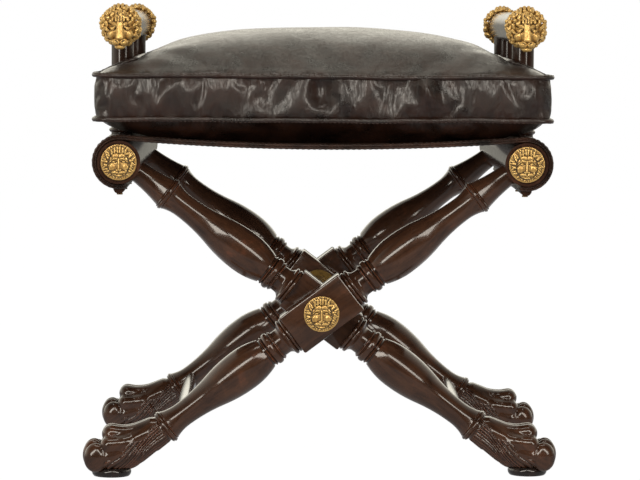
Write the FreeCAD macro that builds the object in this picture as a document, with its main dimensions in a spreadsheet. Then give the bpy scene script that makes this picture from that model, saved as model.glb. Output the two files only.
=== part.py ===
"""Folding X-frame stool: two nested frames of turned legs on lion paws, a leather sling
between round rails, hand bars with lion heads, and a loose box cushion.

Origin on the floor below the middle of the stool, X to the right, Y to the back, Z up.
All lengths are in millimetres and angles in degrees.
"""
import os
import re

import FreeCAD
import Part
import Sketcher

SIZES = {
    # Leg blocks at the crossing, and how the legs lean from the vertical
    "leg_tilt": 53.13,
    "leg_inset": 52.5,
    "block_length": 90.4,
    "block_width": 54,
    "block_proud": 27,
    "block_inset": 13.5,
    "block_gap": 1,
    # Turned leg, from the block outwards
    "core_radius": 12,
    "shoulder_radius": 22.4,
    "collar_radius": 24.2,
    "collar_length": 9.4,
    "cove_length": 6.6,
    "neck_radius": 16.9,
    "neck_length": 5.8,
    "bead_step_radius": 18.4,
    "bead_step_length": 3.8,
    "bead_seat_radius": 19.2,
    "bead_radius": 21.4,
    "bead_length": 13.4,
    "groove_radius": 18.3,
    "groove_length": 5.2,
    "bulb_start_radius": 20,
    "bulb_radius": 26.3,
    "bulb_rise": 34,
    "bulb_fall": 94.2,
    "bulb_turn": 0.47,
    "waist_radius": 15.2,
    "waist_rise": 19,
    "fillet_radius": 18.6,
    "fillet_length": 2.1,
    "ring_radius": 21.6,
    "ring_length": 7.5,
    "rail_neck_start_radius": 19,
    "rail_neck_radius": 13.4,
    "rail_seat_share": 0.72,
    "rail_neck_length": 40.8,
    "leg_tenon_radius": 9,
    "leg_tenon_depth": 16,
    "dowel_radius": 8,
    "dowel_length": 18,
    # Carved paw and the pad under it
    "paw_length": 80.4,
    "ankle_radius": 18.6,
    "instep_share": 0.5,
    "instep_radius": 23.5,
    "instep_lift": 7.5,
    "knuckle_line_share": 0.76,
    "knuckle_line_radius": 26.5,
    "knuckle_line_lift": 11,
    "palm_length": 27,
    "palm_width": 28,
    "palm_height": 26,
    "toe_spread": 7.7,
    "toe_length": 13.5,
    "toe_width": 8.8,
    "toe_height": 17.5,
    "toe_reach": 20.5,
    "toe_rise": 14.5,
    "side_toe_spread": 21.2,
    "side_toe_scale": 0.98,
    "side_toe_setback": 2.8,
    "knuckle_length": 10.5,
    "knuckle_height": 13,
    "knuckle_reach": 2,
    "knuckle_rise": 39.5,
    "side_knuckle_drop": 10,
    "pad_radius": 24.3,
    "pad_height": 10.5,
    "pad_edge": 2.5,
    "pad_spigot_radius": 8,
    "pad_spigot_length": 6,
    # Rails
    "rail_radius": 26.5,
    "rail_half_length": 260,
    "rail_rim": 2.6,
    "rail_recess": 1.5,
    # Posts and hand bars
    "post_inset": 88,
    "post_radius": 13.5,
    "post_bead_radius": 16.2,
    "post_bead_length": 6,
    "post_tenon_radius": 8,
    "post_tenon_depth": 16,
    "handle_rise": 165,
    "handle_radius": 19,
    "handle_seat_share": 0.6,
    "handle_inset": 55,
    "handle_end_radius": 17.4,
    "handle_end_length": 5,
    "handle_tenon_depth": 10,
    "head_spigot_radius": 7,
    "head_spigot_length": 13,
    # Lion heads on the hand bars
    "head_length": 33,
    "mane_radius": 23.2,
    "mane_depth": 12,
    "face_radius": 19,
    "face_depth": 24,
    "mane_lock_radius": 5.4,
    "mane_lock_ring": 20.6,
    "mane_lock_count": 14,
    "crest_height": 28.3,
    "crest_width": 10.5,
    "crest_depth": 9.6,
    "crest_reach": 13.2,
    "beard_width": 7.6,
    "beard_depth": 9,
    "beard_reach": 16.8,
    "muzzle_width": 9.5,
    "muzzle_length": 10,
    "muzzle_height": 7.5,
    "muzzle_drop": 8.5,
    "muzzle_reach": 30,
    "bridge_width": 4.4,
    "bridge_length": 7,
    "bridge_height": 14,
    "brow_radius": 5.2,
    "brow_spread": 8.2,
    "brow_lift": 7,
    "brow_height": 3.6,
    "brow_reach": 27.1,
    "ear_radius": 4.6,
    "ear_depth": 2.8,
    "ear_spread": 15.5,
    "ear_lift": 14.5,
    # Rosettes on the rail ends and the crossing
    "rosette_radius": 22,
    "rosette_plate": 1.6,
    "rosette_rim_width": 3.6,
    "rosette_rim_height": 2.6,
    "rosette_valley": 1.9,
    "rosette_relief": 5.2,
    "rosette_pin_radius": 4,
    "rosette_pin_length": 8,
    # Pivot
    "rod_radius": 6,
    "nut_flats": 18,
    "nut_thickness": 7,
    "nut_recess_radius": 12,
    "nut_recess_depth": 10,
    "rod_end_proud": 1,
    "washer_radius": 20,
    "center_collar_radius": 23,
    "center_collar_thickness": 4,
    "center_end_radius": 15,
    "center_waist_radius": 10.5,
    "center_waist_share": 0.7,
    "center_middle_radius": 15.5,
    # Foot stretchers
    "stretcher_from_ring": 27.5,
    "stretcher_end_radius": 6,
    "stretcher_shoulder_radius": 6.8,
    "stretcher_middle_radius": 9,
    "stretcher_shoulder": 22,
    # Sling, battens and their screws
    "sling_thickness": 6,
    "sling_sag": 10,
    "sling_inset": 5,
    "sling_tuck": 14,
    "batten_width": 14,
    "batten_height": 6.5,
    "batten_margin": 6,
    "screw_radius": 1.75,
    "screw_head_radius": 3.6,
    "screw_head_height": 1.8,
    "screw_bite": 16,
    "screw_from_end": 19,
    # Cushion
    "cushion_overhang": 27.5,
    "cushion_inset": 4,
    "cushion_draw": 4,
    "notch_from_post": 20.6,
    "tab_from_post": 25,
    "cushion_corner": 12,
    "notch_corner": 9,
    "cushion_drop": 29,
    "boxing_height": 52.4,
    "crown_height": 60.7,
    "crown_shoulder_reach": 0.6,
    "crown_shoulder_lift": 0.76,
    "belly_shoulder_reach": 0.86,
    "belly_shoulder_lift": 0.64,
    "leather": 2,
    "piping_radius": 3,
    # Clearances
    "glue_gap": 0.05,
    "running_gap": 0.05,
    "soft_gap": 0.3,
    "post_slack": 0.8,
    "washer_play": 0.1,
}

doc = FreeCAD.newDocument("stool")
sheet = doc.addObject("Spreadsheet::Sheet", "sizes")
for row, (alias, value) in enumerate(SIZES.items(), start=1):
    sheet.set(f"A{row}", alias)
    sheet.set(f"B{row}", str(value))
    sheet.setAlias(f"B{row}", alias)
doc.recompute()

# Stations along a leg from the pivot, and the places that follow from them
BLOCK_END = "block_length/2"
COLLAR_END = f"({BLOCK_END} + collar_length)"
NECK_START = f"({COLLAR_END} + cove_length)"
NECK_END = f"({NECK_START} + neck_length)"
BEAD_START = f"({NECK_END} + bead_step_length)"
BEAD_END = f"({NECK_END} + bead_length)"
BULB_START = f"({BEAD_END} + groove_length)"
BULB_CREST = f"({BULB_START} + bulb_rise)"
WAIST = f"({BULB_CREST} + bulb_fall)"
FILLET_START = f"({WAIST} + waist_rise)"
RING_START = f"({FILLET_START} + fillet_length)"
RING_END = f"({RING_START} + ring_length)"
LEG_LENGTH = f"({RING_END} + rail_neck_length + rail_radius)"
SOLE_REACH = f"({RING_END} + paw_length)"

PIVOT_Z = f"(pad_height + {SOLE_REACH}*cos(leg_tilt))"
FOOT_X = f"({SOLE_REACH}*sin(leg_tilt))"
RAIL_X = f"({LEG_LENGTH}*sin(leg_tilt))"
RAIL_Z = f"({PIVOT_Z} + {LEG_LENGTH}*cos(leg_tilt))"
OUTER_LEG_Y = "(rail_half_length - leg_inset)"
INNER_LEG_Y = f"({OUTER_LEG_Y} - 2*block_inset - block_gap)"
LEG_Y = {"outer": OUTER_LEG_Y, "inner": INNER_LEG_Y}
POST_Y = "(rail_half_length - post_inset)"
HANDLE_END = "(rail_half_length - handle_inset)"
SLING_END = "(rail_half_length - sling_inset)"
SCREW_PITCH = f"(({SLING_END} - batten_margin - screw_from_end)/2)"
STRETCHER_U = f"({RING_END} - stretcher_from_ring)"
HANDLE_Z = f"({RAIL_Z} + handle_rise)"

SLING_IN = "(rail_radius + soft_gap)"
SLING_OUT = f"({SLING_IN} + sling_thickness)"
CUSHION_BASE = f"({RAIL_Z} + {SLING_OUT} - sling_sag + 2*soft_gap)"
BOTTOM_SEAM = f"({CUSHION_BASE} + cushion_drop)"
TOP_SEAM = f"({BOTTOM_SEAM} + boxing_height)"
CROWN = f"({TOP_SEAM} + crown_height)"

X_AXIS = FreeCAD.Vector(1, 0, 0)
Y_AXIS = FreeCAD.Vector(0, 1, 0)
Z_AXIS = FreeCAD.Vector(0, 0, 1)
UPRIGHT = FreeCAD.Rotation()
HALF_TURN = FreeCAD.Rotation(Z_AXIS, 180)
TO_BACK = FreeCAD.Rotation(X_AXIS, -90)
FULL_TURN = 360
SCREW_PLACES = (-2, -1, 0, 1, 2)


def number(expression):
    """Value of an expression in the sheet's sizes."""
    result = sheet.evalExpression(expression)
    return float(getattr(result, "Value", result))


def linked(expression):
    """The same expression with every size written as a cell of the sheet."""
    return re.sub(r"[a-z_]+", lambda word: f"sizes.{word[0]}" if word[0] in SIZES else word[0], expression)


def bind(item, **expressions):
    """Tie properties of an object to the sheet."""
    for name, expression in expressions.items():
        item.setExpression(name, linked(str(expression)))


def locate(item, place=("0", "0", "0"), turn=UPRIGHT):
    """Turn an object, and tie its place to the sheet."""
    item.Placement = FreeCAD.Placement(FreeCAD.Vector(), turn)
    for axis, expression in zip("xyz", place):
        item.setExpression(f"Placement.Base.{axis}", linked(expression))


def new_body(label):
    """An empty body that may hold several solids."""
    body = doc.addObject("PartDesign::Body", label)
    body.Label = label
    body.AllowCompound = True
    return body


def arc_radius(kind, start, step):
    """Signed radius of an arc step: positive turns left. A rounded turning lies along the axis at one end."""
    if kind == "arc":
        return step[3]
    across = f"(({step[1]}) - ({start[1]}))"
    along = f"(({step[2]}) - ({start[2]}))"
    radius = f"(({across}^2 + {along}^2)/(2*abs({across})))"
    outward = number(across) * number(along) > 0
    left = outward if kind == "into" else not outward
    return radius if left else f"-{radius}"


def arc_middle(first, last, radius):
    """Middle point of the lesser arc between two points."""
    chord = last - first
    height = (radius * radius - chord.Length ** 2 / 4) ** 0.5
    bulge = abs(radius) - height
    right = FreeCAD.Vector(chord.y, -chord.x, 0).normalize()
    return (first + last) / 2 + right * (bulge if radius > 0 else -bulge)


def sketch_on(body, name, plane):
    """A sketch on one of the body's own origin planes."""
    sketch = body.newObject("Sketcher::SketchObject", name)
    support = [item for item in body.Origin.OriginFeatures if item.Role == plane]
    sketch.AttachmentSupport = [(support[0], "")]
    sketch.MapMode = "FlatFace"
    return sketch


def draw(sketch, steps):
    """Closed outline through the steps, each corner and each arc tied to the sheet.

    A step is a kind, two coordinates and, for an arc, its radius. The kinds are line, arc, and for
    turned work into and from: arcs that end or start along the axis.
    """
    corners = [FreeCAD.Vector(number(step[1]), number(step[2]), 0) for step in steps]
    first_edge = sketch.GeometryCount
    starts = []
    for index, step in enumerate(steps[1:] + steps[:1]):
        begin, end = corners[index], corners[(index + 1) % len(corners)]
        kind = step[0]
        if kind in ("line", "start"):
            edge = sketch.addGeometry(Part.LineSegment(begin, end))
        else:
            radius = arc_radius(kind, steps[index], step)
            middle = arc_middle(begin, end, number(radius))
            edge = sketch.addGeometry(Part.Arc(begin, middle, end))
            size = abs(number(radius))
            datum = sketch.addConstraint(Sketcher.Constraint("Radius", edge, size))
            sketch.setExpression(f"Constraints[{datum}]", linked(f"abs({radius})"))
        forward = (sketch.getPoint(edge, 1) - begin).Length < (sketch.getPoint(edge, 2) - begin).Length
        starts.append((1, 2) if forward else (2, 1))
    for index, step in enumerate(steps):
        edge = first_edge + index
        before = (index - 1) % len(steps)
        near = starts[index][0]
        joined = (first_edge + before, starts[before][1], edge, near)
        sketch.addConstraint(Sketcher.Constraint("Coincident", *joined))
        for kind, line, place, value in (("DistanceX", -2, step[1], corners[index].x),
                                         ("DistanceY", -1, step[2], corners[index].y)):
            if place == "0":
                sketch.addConstraint(Sketcher.Constraint("PointOnObject", edge, near, line))
            else:
                datum = sketch.addConstraint(Sketcher.Constraint(kind, -1, 1, edge, near, value))
                sketch.setExpression(f"Constraints[{datum}]", linked(place))


def turned(body, name, steps, plane="XY_Plane"):
    """Revolve an outline about its sketch's upright axis: Y on the XY plane, Z on the XZ plane."""
    sketch = sketch_on(body, f"{name}_outline", plane)
    draw(sketch, steps)
    solid = body.newObject("PartDesign::Revolution", name)
    solid.Profile = sketch
    solid.ReferenceAxis = (sketch, ["V_Axis"])
    solid.Angle = FULL_TURN
    sketch.Visibility = False
    return solid


def padded(body, name, steps, length, plane="XZ_Plane"):
    """Extrude an outline evenly to both sides of its plane."""
    sketch = sketch_on(body, f"{name}_outline", plane)
    draw(sketch, steps)
    solid = body.newObject("PartDesign::Pad", name)
    solid.Profile = sketch
    solid.Midplane = True
    bind(solid, Length=length)
    return solid


def rod(body, name, radius, length, place, turn=UPRIGHT, cut=False):
    """Add or cut a cylinder that starts at a place and runs along its own turned Z axis."""
    kind = "PartDesign::SubtractiveCylinder" if cut else "PartDesign::AdditiveCylinder"
    cylinder = body.newObject(kind, name)
    bind(cylinder, Radius=radius, Height=length)
    locate(cylinder, place, turn)
    return cylinder


def egg(body, name, radii, place, turn=UPRIGHT):
    """Add an ellipsoid with half sizes along X, Y and Z."""
    solid = body.newObject("PartDesign::AdditiveEllipsoid", name)
    bind(solid, Radius2=radii[0], Radius3=radii[1], Radius1=radii[2])
    locate(solid, place, turn)
    return solid


def dome(half_width, height):
    """Radius of an arc that rises by a height over a half width."""
    return f"((({half_width})^2 + ({height})^2)/(2*({height})))"


def box_of(steps):
    """Outline of lines alone through pairs of coordinates."""
    return [("line", *pair) for pair in steps]


# Turned legs: each has a square block at the crossing, the same turning above and below it, a
# tenon in the rail and a dowel in the paw. Local Z runs up the leg from the pivot.
def turning(sign, last_steps):
    """Outline of one half of a leg, from inside its block to its last steps."""
    waist_turn = f"({BULB_CREST} + bulb_turn*bulb_fall)"
    turn_radius = "(bulb_radius - bulb_turn*(bulb_radius - waist_radius))"
    steps = [
        ("line", "0", "block_length/4"),
        ("line", "core_radius", "block_length/4"),
        ("line", "core_radius", BLOCK_END),
        ("line", "shoulder_radius", BLOCK_END),
        ("into", "collar_radius", f"({BLOCK_END} + collar_length/4)"),
        ("from", "shoulder_radius", f"({BLOCK_END} + collar_length/2)"),
        ("into", "collar_radius", f"({COLLAR_END} - collar_length/4)"),
        ("from", "shoulder_radius", COLLAR_END),
        ("into", "neck_radius", NECK_START),
        ("line", "neck_radius", NECK_END),
        ("line", "bead_step_radius", NECK_END),
        ("line", "bead_step_radius", BEAD_START),
        ("line", "bead_seat_radius", BEAD_START),
        ("into", "bead_radius", f"(({BEAD_START} + {BEAD_END})/2)"),
        ("from", "bead_seat_radius", BEAD_END),
        ("line", "groove_radius", BEAD_END),
        ("line", "groove_radius", BULB_START),
        ("line", "bulb_start_radius", BULB_START),
        ("into", "bulb_radius", BULB_CREST),
        ("from", turn_radius, waist_turn),
        ("into", "waist_radius", WAIST),
        ("from", "fillet_radius", FILLET_START),
        ("line", "fillet_radius", RING_START),
        ("into", "ring_radius", f"({RING_START} + ring_length/2)"),
        ("from", "fillet_radius", RING_END),
    ] + last_steps
    return [(kind, across, f"{sign}({along})") for kind, across, along in steps]


def make_leg(frame, end, side, facing):
    label = f"{frame}_{end}_leg"
    body = new_body(label)
    half_width = "block_width/2"
    square = box_of([(f"-{half_width}", "-block_proud"), (half_width, "-block_proud"),
                     (half_width, "block_inset"), (f"-{half_width}", "block_inset")])
    padded(body, f"{label}_block", square, "block_length", "XY_Plane")
    rail_end = f"({LEG_LENGTH} - rail_radius*rail_seat_share)"
    rail_neck = [("line", "rail_neck_start_radius", f"({RING_END} + soft_gap)"),
                 ("into", "rail_neck_radius", rail_end),
                 ("line", "0", rail_end)]
    turned(body, f"{label}_upper", turning("", rail_neck), "XZ_Plane")
    turned(body, f"{label}_lower", turning("-", [("line", "0", RING_END)]), "XZ_Plane")
    across = FreeCAD.Rotation(X_AXIS, -90)
    rod(body, f"{label}_rail_seat", "rail_radius + glue_gap", "block_width",
        ("0", "-block_width/2", LEG_LENGTH), across, True)
    rod(body, f"{label}_tenon", "leg_tenon_radius", "rail_radius + leg_tenon_depth",
        ("0", "0", f"{LEG_LENGTH} - 2*rail_radius"))
    rod(body, f"{label}_dowel", "dowel_radius", "dowel_length + ring_length",
        ("0", "0", f"-{RING_END} - dowel_length"))
    rod(body, f"{label}_pivot_bore", "rod_radius + running_gap", "2*block_width",
        ("0", "-block_width", "0"), across, True)
    if frame == "outer":
        rod(body, f"{label}_nut_recess", "nut_recess_radius", "block_proud",
            ("0", "nut_recess_depth - 2*block_proud", "0"), across, True)
        inward = across
    else:
        inward = FreeCAD.Rotation(X_AXIS, 90)
    rod(body, f"{label}_stretcher_hole", "stretcher_end_radius + glue_gap", "bulb_radius",
        ("0", "0", f"-{STRETCHER_U}"), inward, True)
    lean = FreeCAD.Rotation(Y_AXIS, side * number("leg_tilt"))
    locate(body, ("0", f"{facing}*{LEG_Y[frame]}", PIVOT_Z), lean * spin_of(frame, facing))


def spin_of(frame, facing):
    """Legs face their flat mating side to the other frame."""
    mates_back = (frame == "outer") == (facing < 0)
    return UPRIGHT if mates_back else HALF_TURN


# Carved paws: an ankle that swells into the instep, four toes with raised knuckles, and a
# flat sole. Local X points to the toes, and the origin is on the floor under the pad.
def make_paw(label):
    body = new_body(label)
    sections = []
    for name, share, lift, radius in (("ankle", "0", "0", "ankle_radius"),
                                      ("instep", "instep_share", "instep_lift", "instep_radius"),
                                      ("knuckles", "knuckle_line_share", "knuckle_line_lift",
                                       "knuckle_line_radius")):
        sketch = sketch_on(body, f"{label}_{name}", "XY_Plane")
        sketch.addGeometry(Part.Circle(FreeCAD.Vector(), Z_AXIS, number(radius)))
        sketch.addConstraint(Sketcher.Constraint("Coincident", 0, 3, -1, 1))
        datum = sketch.addConstraint(Sketcher.Constraint("Radius", 0, number(radius)))
        sketch.setExpression(f"Constraints[{datum}]", linked(radius))
        back = f"(paw_length*(1 - {share}))"
        sketch.AttachmentOffset = FreeCAD.Placement(
            FreeCAD.Vector(number(f"-{back}*sin(leg_tilt) + {lift}*cos(leg_tilt)"), 0,
                           number(f"pad_height + {back}*cos(leg_tilt) + {lift}*sin(leg_tilt)")),
            FreeCAD.Rotation(Y_AXIS, 180 - number("leg_tilt")))
        sections.append(sketch)
    ankle = body.newObject("PartDesign::AdditiveLoft", f"{label}_leg_end")
    ankle.Profile = sections[0]
    ankle.Sections = sections[1:]
    egg(body, f"{label}_palm", ("palm_length", "palm_width", "palm_height"), ("0", "0", "pad_height"))
    for side in ("", "-"):
        egg(body, f"{label}_toe", ("toe_length", "toe_width", "toe_height"),
            ("toe_reach", f"{side}toe_spread", "pad_height + toe_rise"))
        egg(body, f"{label}_knuckle", ("knuckle_length", "toe_width", "knuckle_height"),
            ("knuckle_reach", f"{side}toe_spread", "pad_height + knuckle_rise"))
        egg(body, f"{label}_side_toe",
            ("toe_length*side_toe_scale", "toe_width*side_toe_scale", "toe_height*side_toe_scale"),
            ("toe_reach - side_toe_setback", f"{side}side_toe_spread",
             "pad_height + toe_rise*side_toe_scale"))
        egg(body, f"{label}_side_knuckle",
            ("knuckle_length*side_toe_scale", "toe_width*side_toe_scale", "knuckle_height*side_toe_scale"),
            ("knuckle_reach - side_toe_setback", f"{side}side_toe_spread",
             "pad_height + knuckle_rise - side_knuckle_drop"))
    sole = body.newObject("PartDesign::SubtractiveBox", f"{label}_sole")
    bind(sole, Length="4*paw_length", Width="4*paw_length", Height="2*paw_length")
    locate(sole, ("-2*paw_length", "-2*paw_length", "pad_height - 2*paw_length"))
    rod(body, f"{label}_dowel_socket", "dowel_radius + glue_gap", "2*dowel_length + glue_gap",
        ("-(paw_length + dowel_length)*sin(leg_tilt)", "0",
         "pad_height + (paw_length + dowel_length)*cos(leg_tilt)"),
        FreeCAD.Rotation(Y_AXIS, 180 - number("leg_tilt")), True)
    rod(body, f"{label}_pad_socket", "pad_spigot_radius + glue_gap", "pad_spigot_length + 2*glue_gap",
        ("0", "0", "pad_height - glue_gap"), cut=True)
    return body


def copy_of(original, label):
    """A body that repeats another one."""
    body = new_body(label)
    body.newObject("PartDesign::FeatureBase", f"{label}_copy").BaseFeature = original
    return body


def make_foot_pad(label):
    body = new_body(label)
    turned(body, f"{label}_disc", [
        ("line", "0", "0"),
        ("line", "pad_radius - pad_edge", "0"),
        ("into", "pad_radius", "pad_height/2"),
        ("from", "pad_radius - pad_edge", "pad_height"),
        ("line", "pad_spigot_radius", "pad_height"),
        ("line", "pad_spigot_radius", "pad_height + pad_spigot_length"),
        ("line", "0", "pad_height + pad_spigot_length"),
    ], "XZ_Plane")
    return body


# Seat rails: round bars with a rimmed, recessed disc at each end for a rosette, mortised for the
# legs and the posts, and drilled for the batten screws.
def make_rail(frame, side):
    label = f"{frame}_rail"
    body = new_body(label)
    inside = "(rail_radius - rail_rim)"
    floor = "(rail_half_length - rail_recess)"
    turned(body, f"{label}_bar", box_of([
        ("0", f"-{floor}"), (inside, f"-{floor}"),
        (inside, "-rail_half_length"), ("rail_radius", "-rail_half_length"),
        ("rail_radius", "rail_half_length"), (inside, "rail_half_length"),
        (inside, floor), ("0", floor)]))
    to_leg = FreeCAD.Rotation(Y_AXIS, -side * (180 - number("leg_tilt")))
    leg_floor = "(rail_radius - leg_tenon_depth - glue_gap)"
    for end, facing in (("front", "-"), ("back", "")):
        rod(body, f"{label}_{end}_leg_mortise", "leg_tenon_radius + glue_gap", "rail_radius",
            (f"{-side}*{leg_floor}*sin(leg_tilt)", f"{facing}{LEG_Y[frame]}", f"-{leg_floor}*cos(leg_tilt)"),
            to_leg, True)
        rod(body, f"{label}_{end}_post_mortise", "post_tenon_radius + glue_gap", "rail_radius",
            ("0", f"{facing}{POST_Y}", "rail_radius - post_tenon_depth - glue_gap"), cut=True)
        start = f"({floor} - rosette_pin_length - glue_gap)"
        outward = FreeCAD.Rotation(X_AXIS, 90 if facing else -90)
        rod(body, f"{label}_{end}_rosette_hole", "rosette_pin_radius + glue_gap", "2*rosette_pin_length",
            ("0", f"{facing}{start}", "0"), outward, True)
    for place in SCREW_PLACES:
        rod(body, f"{label}_screw_hole", "screw_radius + glue_gap", "rail_radius",
            ("0", f"{place}*{SCREW_PITCH}", "-2*rail_radius + screw_bite + glue_gap"), cut=True)
    locate(body, (f"{side}*{RAIL_X}", "0", RAIL_Z))


# Posts: round uprights seated on the rail and under the hand bar, tenoned into both, with a
# turned bead just above the sling.
def make_post(label, place):
    body = new_body(label)
    bead_start = f"({SLING_OUT} + 2*soft_gap)"
    top = "(handle_rise - handle_radius*handle_seat_share)"
    turned(body, f"{label}_shaft", [
        ("line", "0", "rail_radius/2"),
        ("line", "post_radius", "rail_radius/2"),
        ("line", "post_radius", bead_start),
        ("into", "post_bead_radius", f"({bead_start} + post_bead_length/2)"),
        ("from", "post_radius", f"({bead_start} + post_bead_length)"),
        ("line", "post_radius", top),
        ("line", "0", top),
    ], "XZ_Plane")
    across = FreeCAD.Rotation(X_AXIS, -90)
    for name, radius, height in (("rail", "rail_radius", "0"), ("bar", "handle_radius", "handle_rise")):
        rod(body, f"{label}_{name}_seat", f"{radius} + glue_gap", "4*post_radius",
            ("0", "-2*post_radius", height), across, True)
    rod(body, f"{label}_tenon", "post_tenon_radius",
        "handle_rise - handle_radius + handle_tenon_depth - rail_radius + post_tenon_depth",
        ("0", "0", "rail_radius - post_tenon_depth"))
    locate(body, place)


# Hand bars: turned, with a stepped bead at each end and a spigot for the lion head.
def make_handle(frame, side):
    label = f"{frame}_handle"
    body = new_body(label)
    tip = f"({HANDLE_END} + head_spigot_length)"
    step = f"({HANDLE_END} - handle_end_length)"
    half = [("head_spigot_radius", tip), ("head_spigot_radius", HANDLE_END),
            ("handle_end_radius", HANDLE_END), ("handle_end_radius", step), ("handle_radius", step)]
    lower = [(across, f"-{along}") for across, along in half]
    turned(body, f"{label}_bar", box_of([("0", f"-{tip}")] + lower + half[::-1] + [("0", tip)]))
    for end, facing in (("front", "-"), ("back", "")):
        rod(body, f"{label}_{end}_mortise", "post_tenon_radius + glue_gap", "2*handle_radius",
            ("0", f"{facing}{POST_Y}", "handle_tenon_depth + glue_gap - 3*handle_radius"), cut=True)
    locate(body, (f"{side}*{RAIL_X}", "0", HANDLE_Z))


# Lion heads: a domed face in a ring of mane locks, with a muzzle, nose bridge, brows, ears and a
# crest above the brow. Local Y points out of the hand bar's end.
def make_lion_head(label):
    body = new_body(label)
    turned(body, f"{label}_mane", [
        ("line", "0", "0"),
        ("line", "handle_radius", "0"),
        ("into", "mane_radius", "mane_depth"),
        ("from", "face_radius", "face_depth"),
        ("arc", "0", "head_length", dome("face_radius", "head_length - face_depth")),
    ])
    lock = body.newObject("PartDesign::AdditiveSphere", f"{label}_lock")
    bind(lock, Radius="mane_lock_radius")
    locate(lock, ("mane_lock_ring", "mane_depth", "0"))
    ring = body.newObject("PartDesign::PolarPattern", f"{label}_locks")
    ring.Originals = [lock]
    axis = [item for item in body.Origin.OriginFeatures if item.Role == "Y_Axis"]
    ring.Axis = (axis[0], [""])
    ring.Angle = FULL_TURN
    bind(ring, Occurrences="mane_lock_count")
    body.Tip = ring
    egg(body, f"{label}_crest", ("crest_width", "crest_depth", "crest_height/2"),
        ("0", "crest_reach", "crest_height/2"))
    egg(body, f"{label}_beard", ("beard_width", "beard_depth", "crest_height/2"),
        ("0", "beard_reach", "-crest_height/2"))
    egg(body, f"{label}_muzzle", ("muzzle_width", "muzzle_length", "muzzle_height"),
        ("0", "muzzle_reach", "-muzzle_drop"))
    egg(body, f"{label}_bridge", ("bridge_width", "bridge_length", "bridge_height"),
        ("0", "muzzle_reach", "0"))
    for hand in ("", "-"):
        egg(body, f"{label}_brow", ("brow_radius", "brow_radius", "brow_height"),
            (f"{hand}brow_spread", "brow_reach", "brow_lift"))
        egg(body, f"{label}_ear", ("ear_radius", "ear_depth", "ear_radius"),
            (f"{hand}ear_spread", "face_depth", "ear_lift"))
    rod(body, f"{label}_socket", "head_spigot_radius + glue_gap", "head_spigot_length + 2*glue_gap",
        ("0", "-glue_gap", "0"), TO_BACK, True)
    return body


# Rosettes: round cast plates with a rim and a domed mask, pinned at the back. Local Y points out.
def make_rosette(label, pin_radius, pin_length):
    body = new_body(label)
    inner = "(rosette_radius - rosette_rim_width)"
    turned(body, f"{label}_plate", [
        ("line", "0", f"-{pin_length}"),
        ("line", pin_radius, f"-{pin_length}"),
        ("line", pin_radius, "0"),
        ("line", "rosette_radius", "0"),
        ("line", "rosette_radius", "rosette_plate"),
        ("line", "rosette_radius - rosette_rim_width/2", "rosette_rim_height"),
        ("line", inner, "rosette_valley"),
        ("arc", "0", "rosette_relief", dome(inner, "rosette_relief - rosette_valley")),
    ])
    return body


# Pivot: a rod through all four blocks with a nut in a recess at each end, washers between the
# blocks, and a turned centre stretcher with a collar against each inner block.
def ring_pair(label, outer, inner, near, far):
    """Two like rings about Y, in front of and behind the middle."""
    body = new_body(label)
    for end, facing in (("front", "-"), ("back", "")):
        turned(body, f"{label}_{end}", box_of([(inner, f"{facing}({near})"), (outer, f"{facing}({near})"),
                                               (outer, f"{facing}({far})"), (inner, f"{facing}({far})")]))
    locate(body, ("0", "0", PIVOT_Z))


def make_pivot():
    nut_seat = f"({OUTER_LEG_Y} + block_proud - nut_recess_depth)"
    rod_end = f"({nut_seat} + nut_thickness + rod_end_proud)"
    body = new_body("pivot_rod")
    turned(body, "pivot_rod_bar", box_of([("0", f"-{rod_end}"), ("rod_radius", f"-{rod_end}"),
                                          ("rod_radius", rod_end), ("0", rod_end)]))
    locate(body, ("0", "0", PIVOT_Z))

    nuts = new_body("pivot_nuts")
    corner = "(nut_flats/sqrt(3))"
    hexagon = box_of([(corner, "0"), (f"{corner}/2", "nut_flats/2"), (f"-{corner}/2", "nut_flats/2"),
                      (f"-{corner}", "0"), (f"-{corner}/2", "-nut_flats/2"), (f"{corner}/2", "-nut_flats/2")])
    padded(nuts, "pivot_nuts_bar", hexagon, f"2*({nut_seat} + nut_thickness)")
    rod(nuts, "pivot_nuts_gap", "nut_flats", f"2*{nut_seat}", ("0", f"-{nut_seat}", "0"), TO_BACK, True)
    rod(nuts, "pivot_nuts_bore", "rod_radius + glue_gap", f"4*{nut_seat}",
        ("0", f"-2*{nut_seat}", "0"), TO_BACK, True)
    locate(nuts, ("0", "0", PIVOT_Z))

    mating = f"({OUTER_LEG_Y} - block_inset)"
    bore = "(rod_radius + soft_gap)"
    ring_pair("pivot_washers", "washer_radius", bore, f"{mating} - washer_play",
              f"{mating} - block_gap + washer_play")
    block_face = f"({INNER_LEG_Y} - block_proud)"
    collar_face = f"({block_face} - center_collar_thickness)"
    ring_pair("center_collars", "center_collar_radius", bore, block_face, collar_face)
    body = new_body("center_stretcher")
    turned(body, "center_stretcher_bar", [
        ("line", bore, f"-{collar_face}"),
        ("line", "center_end_radius", f"-{collar_face}"),
        ("into", "center_waist_radius", f"-{collar_face}*center_waist_share"),
        ("from", "center_middle_radius", "-center_middle_radius/2"),
        ("line", "center_middle_radius", "center_middle_radius/2"),
        ("into", "center_waist_radius", f"{collar_face}*center_waist_share"),
        ("from", "center_end_radius", collar_face),
        ("line", bore, collar_face),
    ])
    locate(body, ("0", "0", PIVOT_Z))
    for end, turn, sign in (("front", HALF_TURN, "-"), ("back", UPRIGHT, "")):
        rosette = make_rosette(f"{end}_pivot_rosette", "nut_recess_radius - glue_gap", "rosette_plate")
        locate(rosette, ("0", f"{sign}({OUTER_LEG_Y} + block_proud)", PIVOT_Z), turn)


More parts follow.
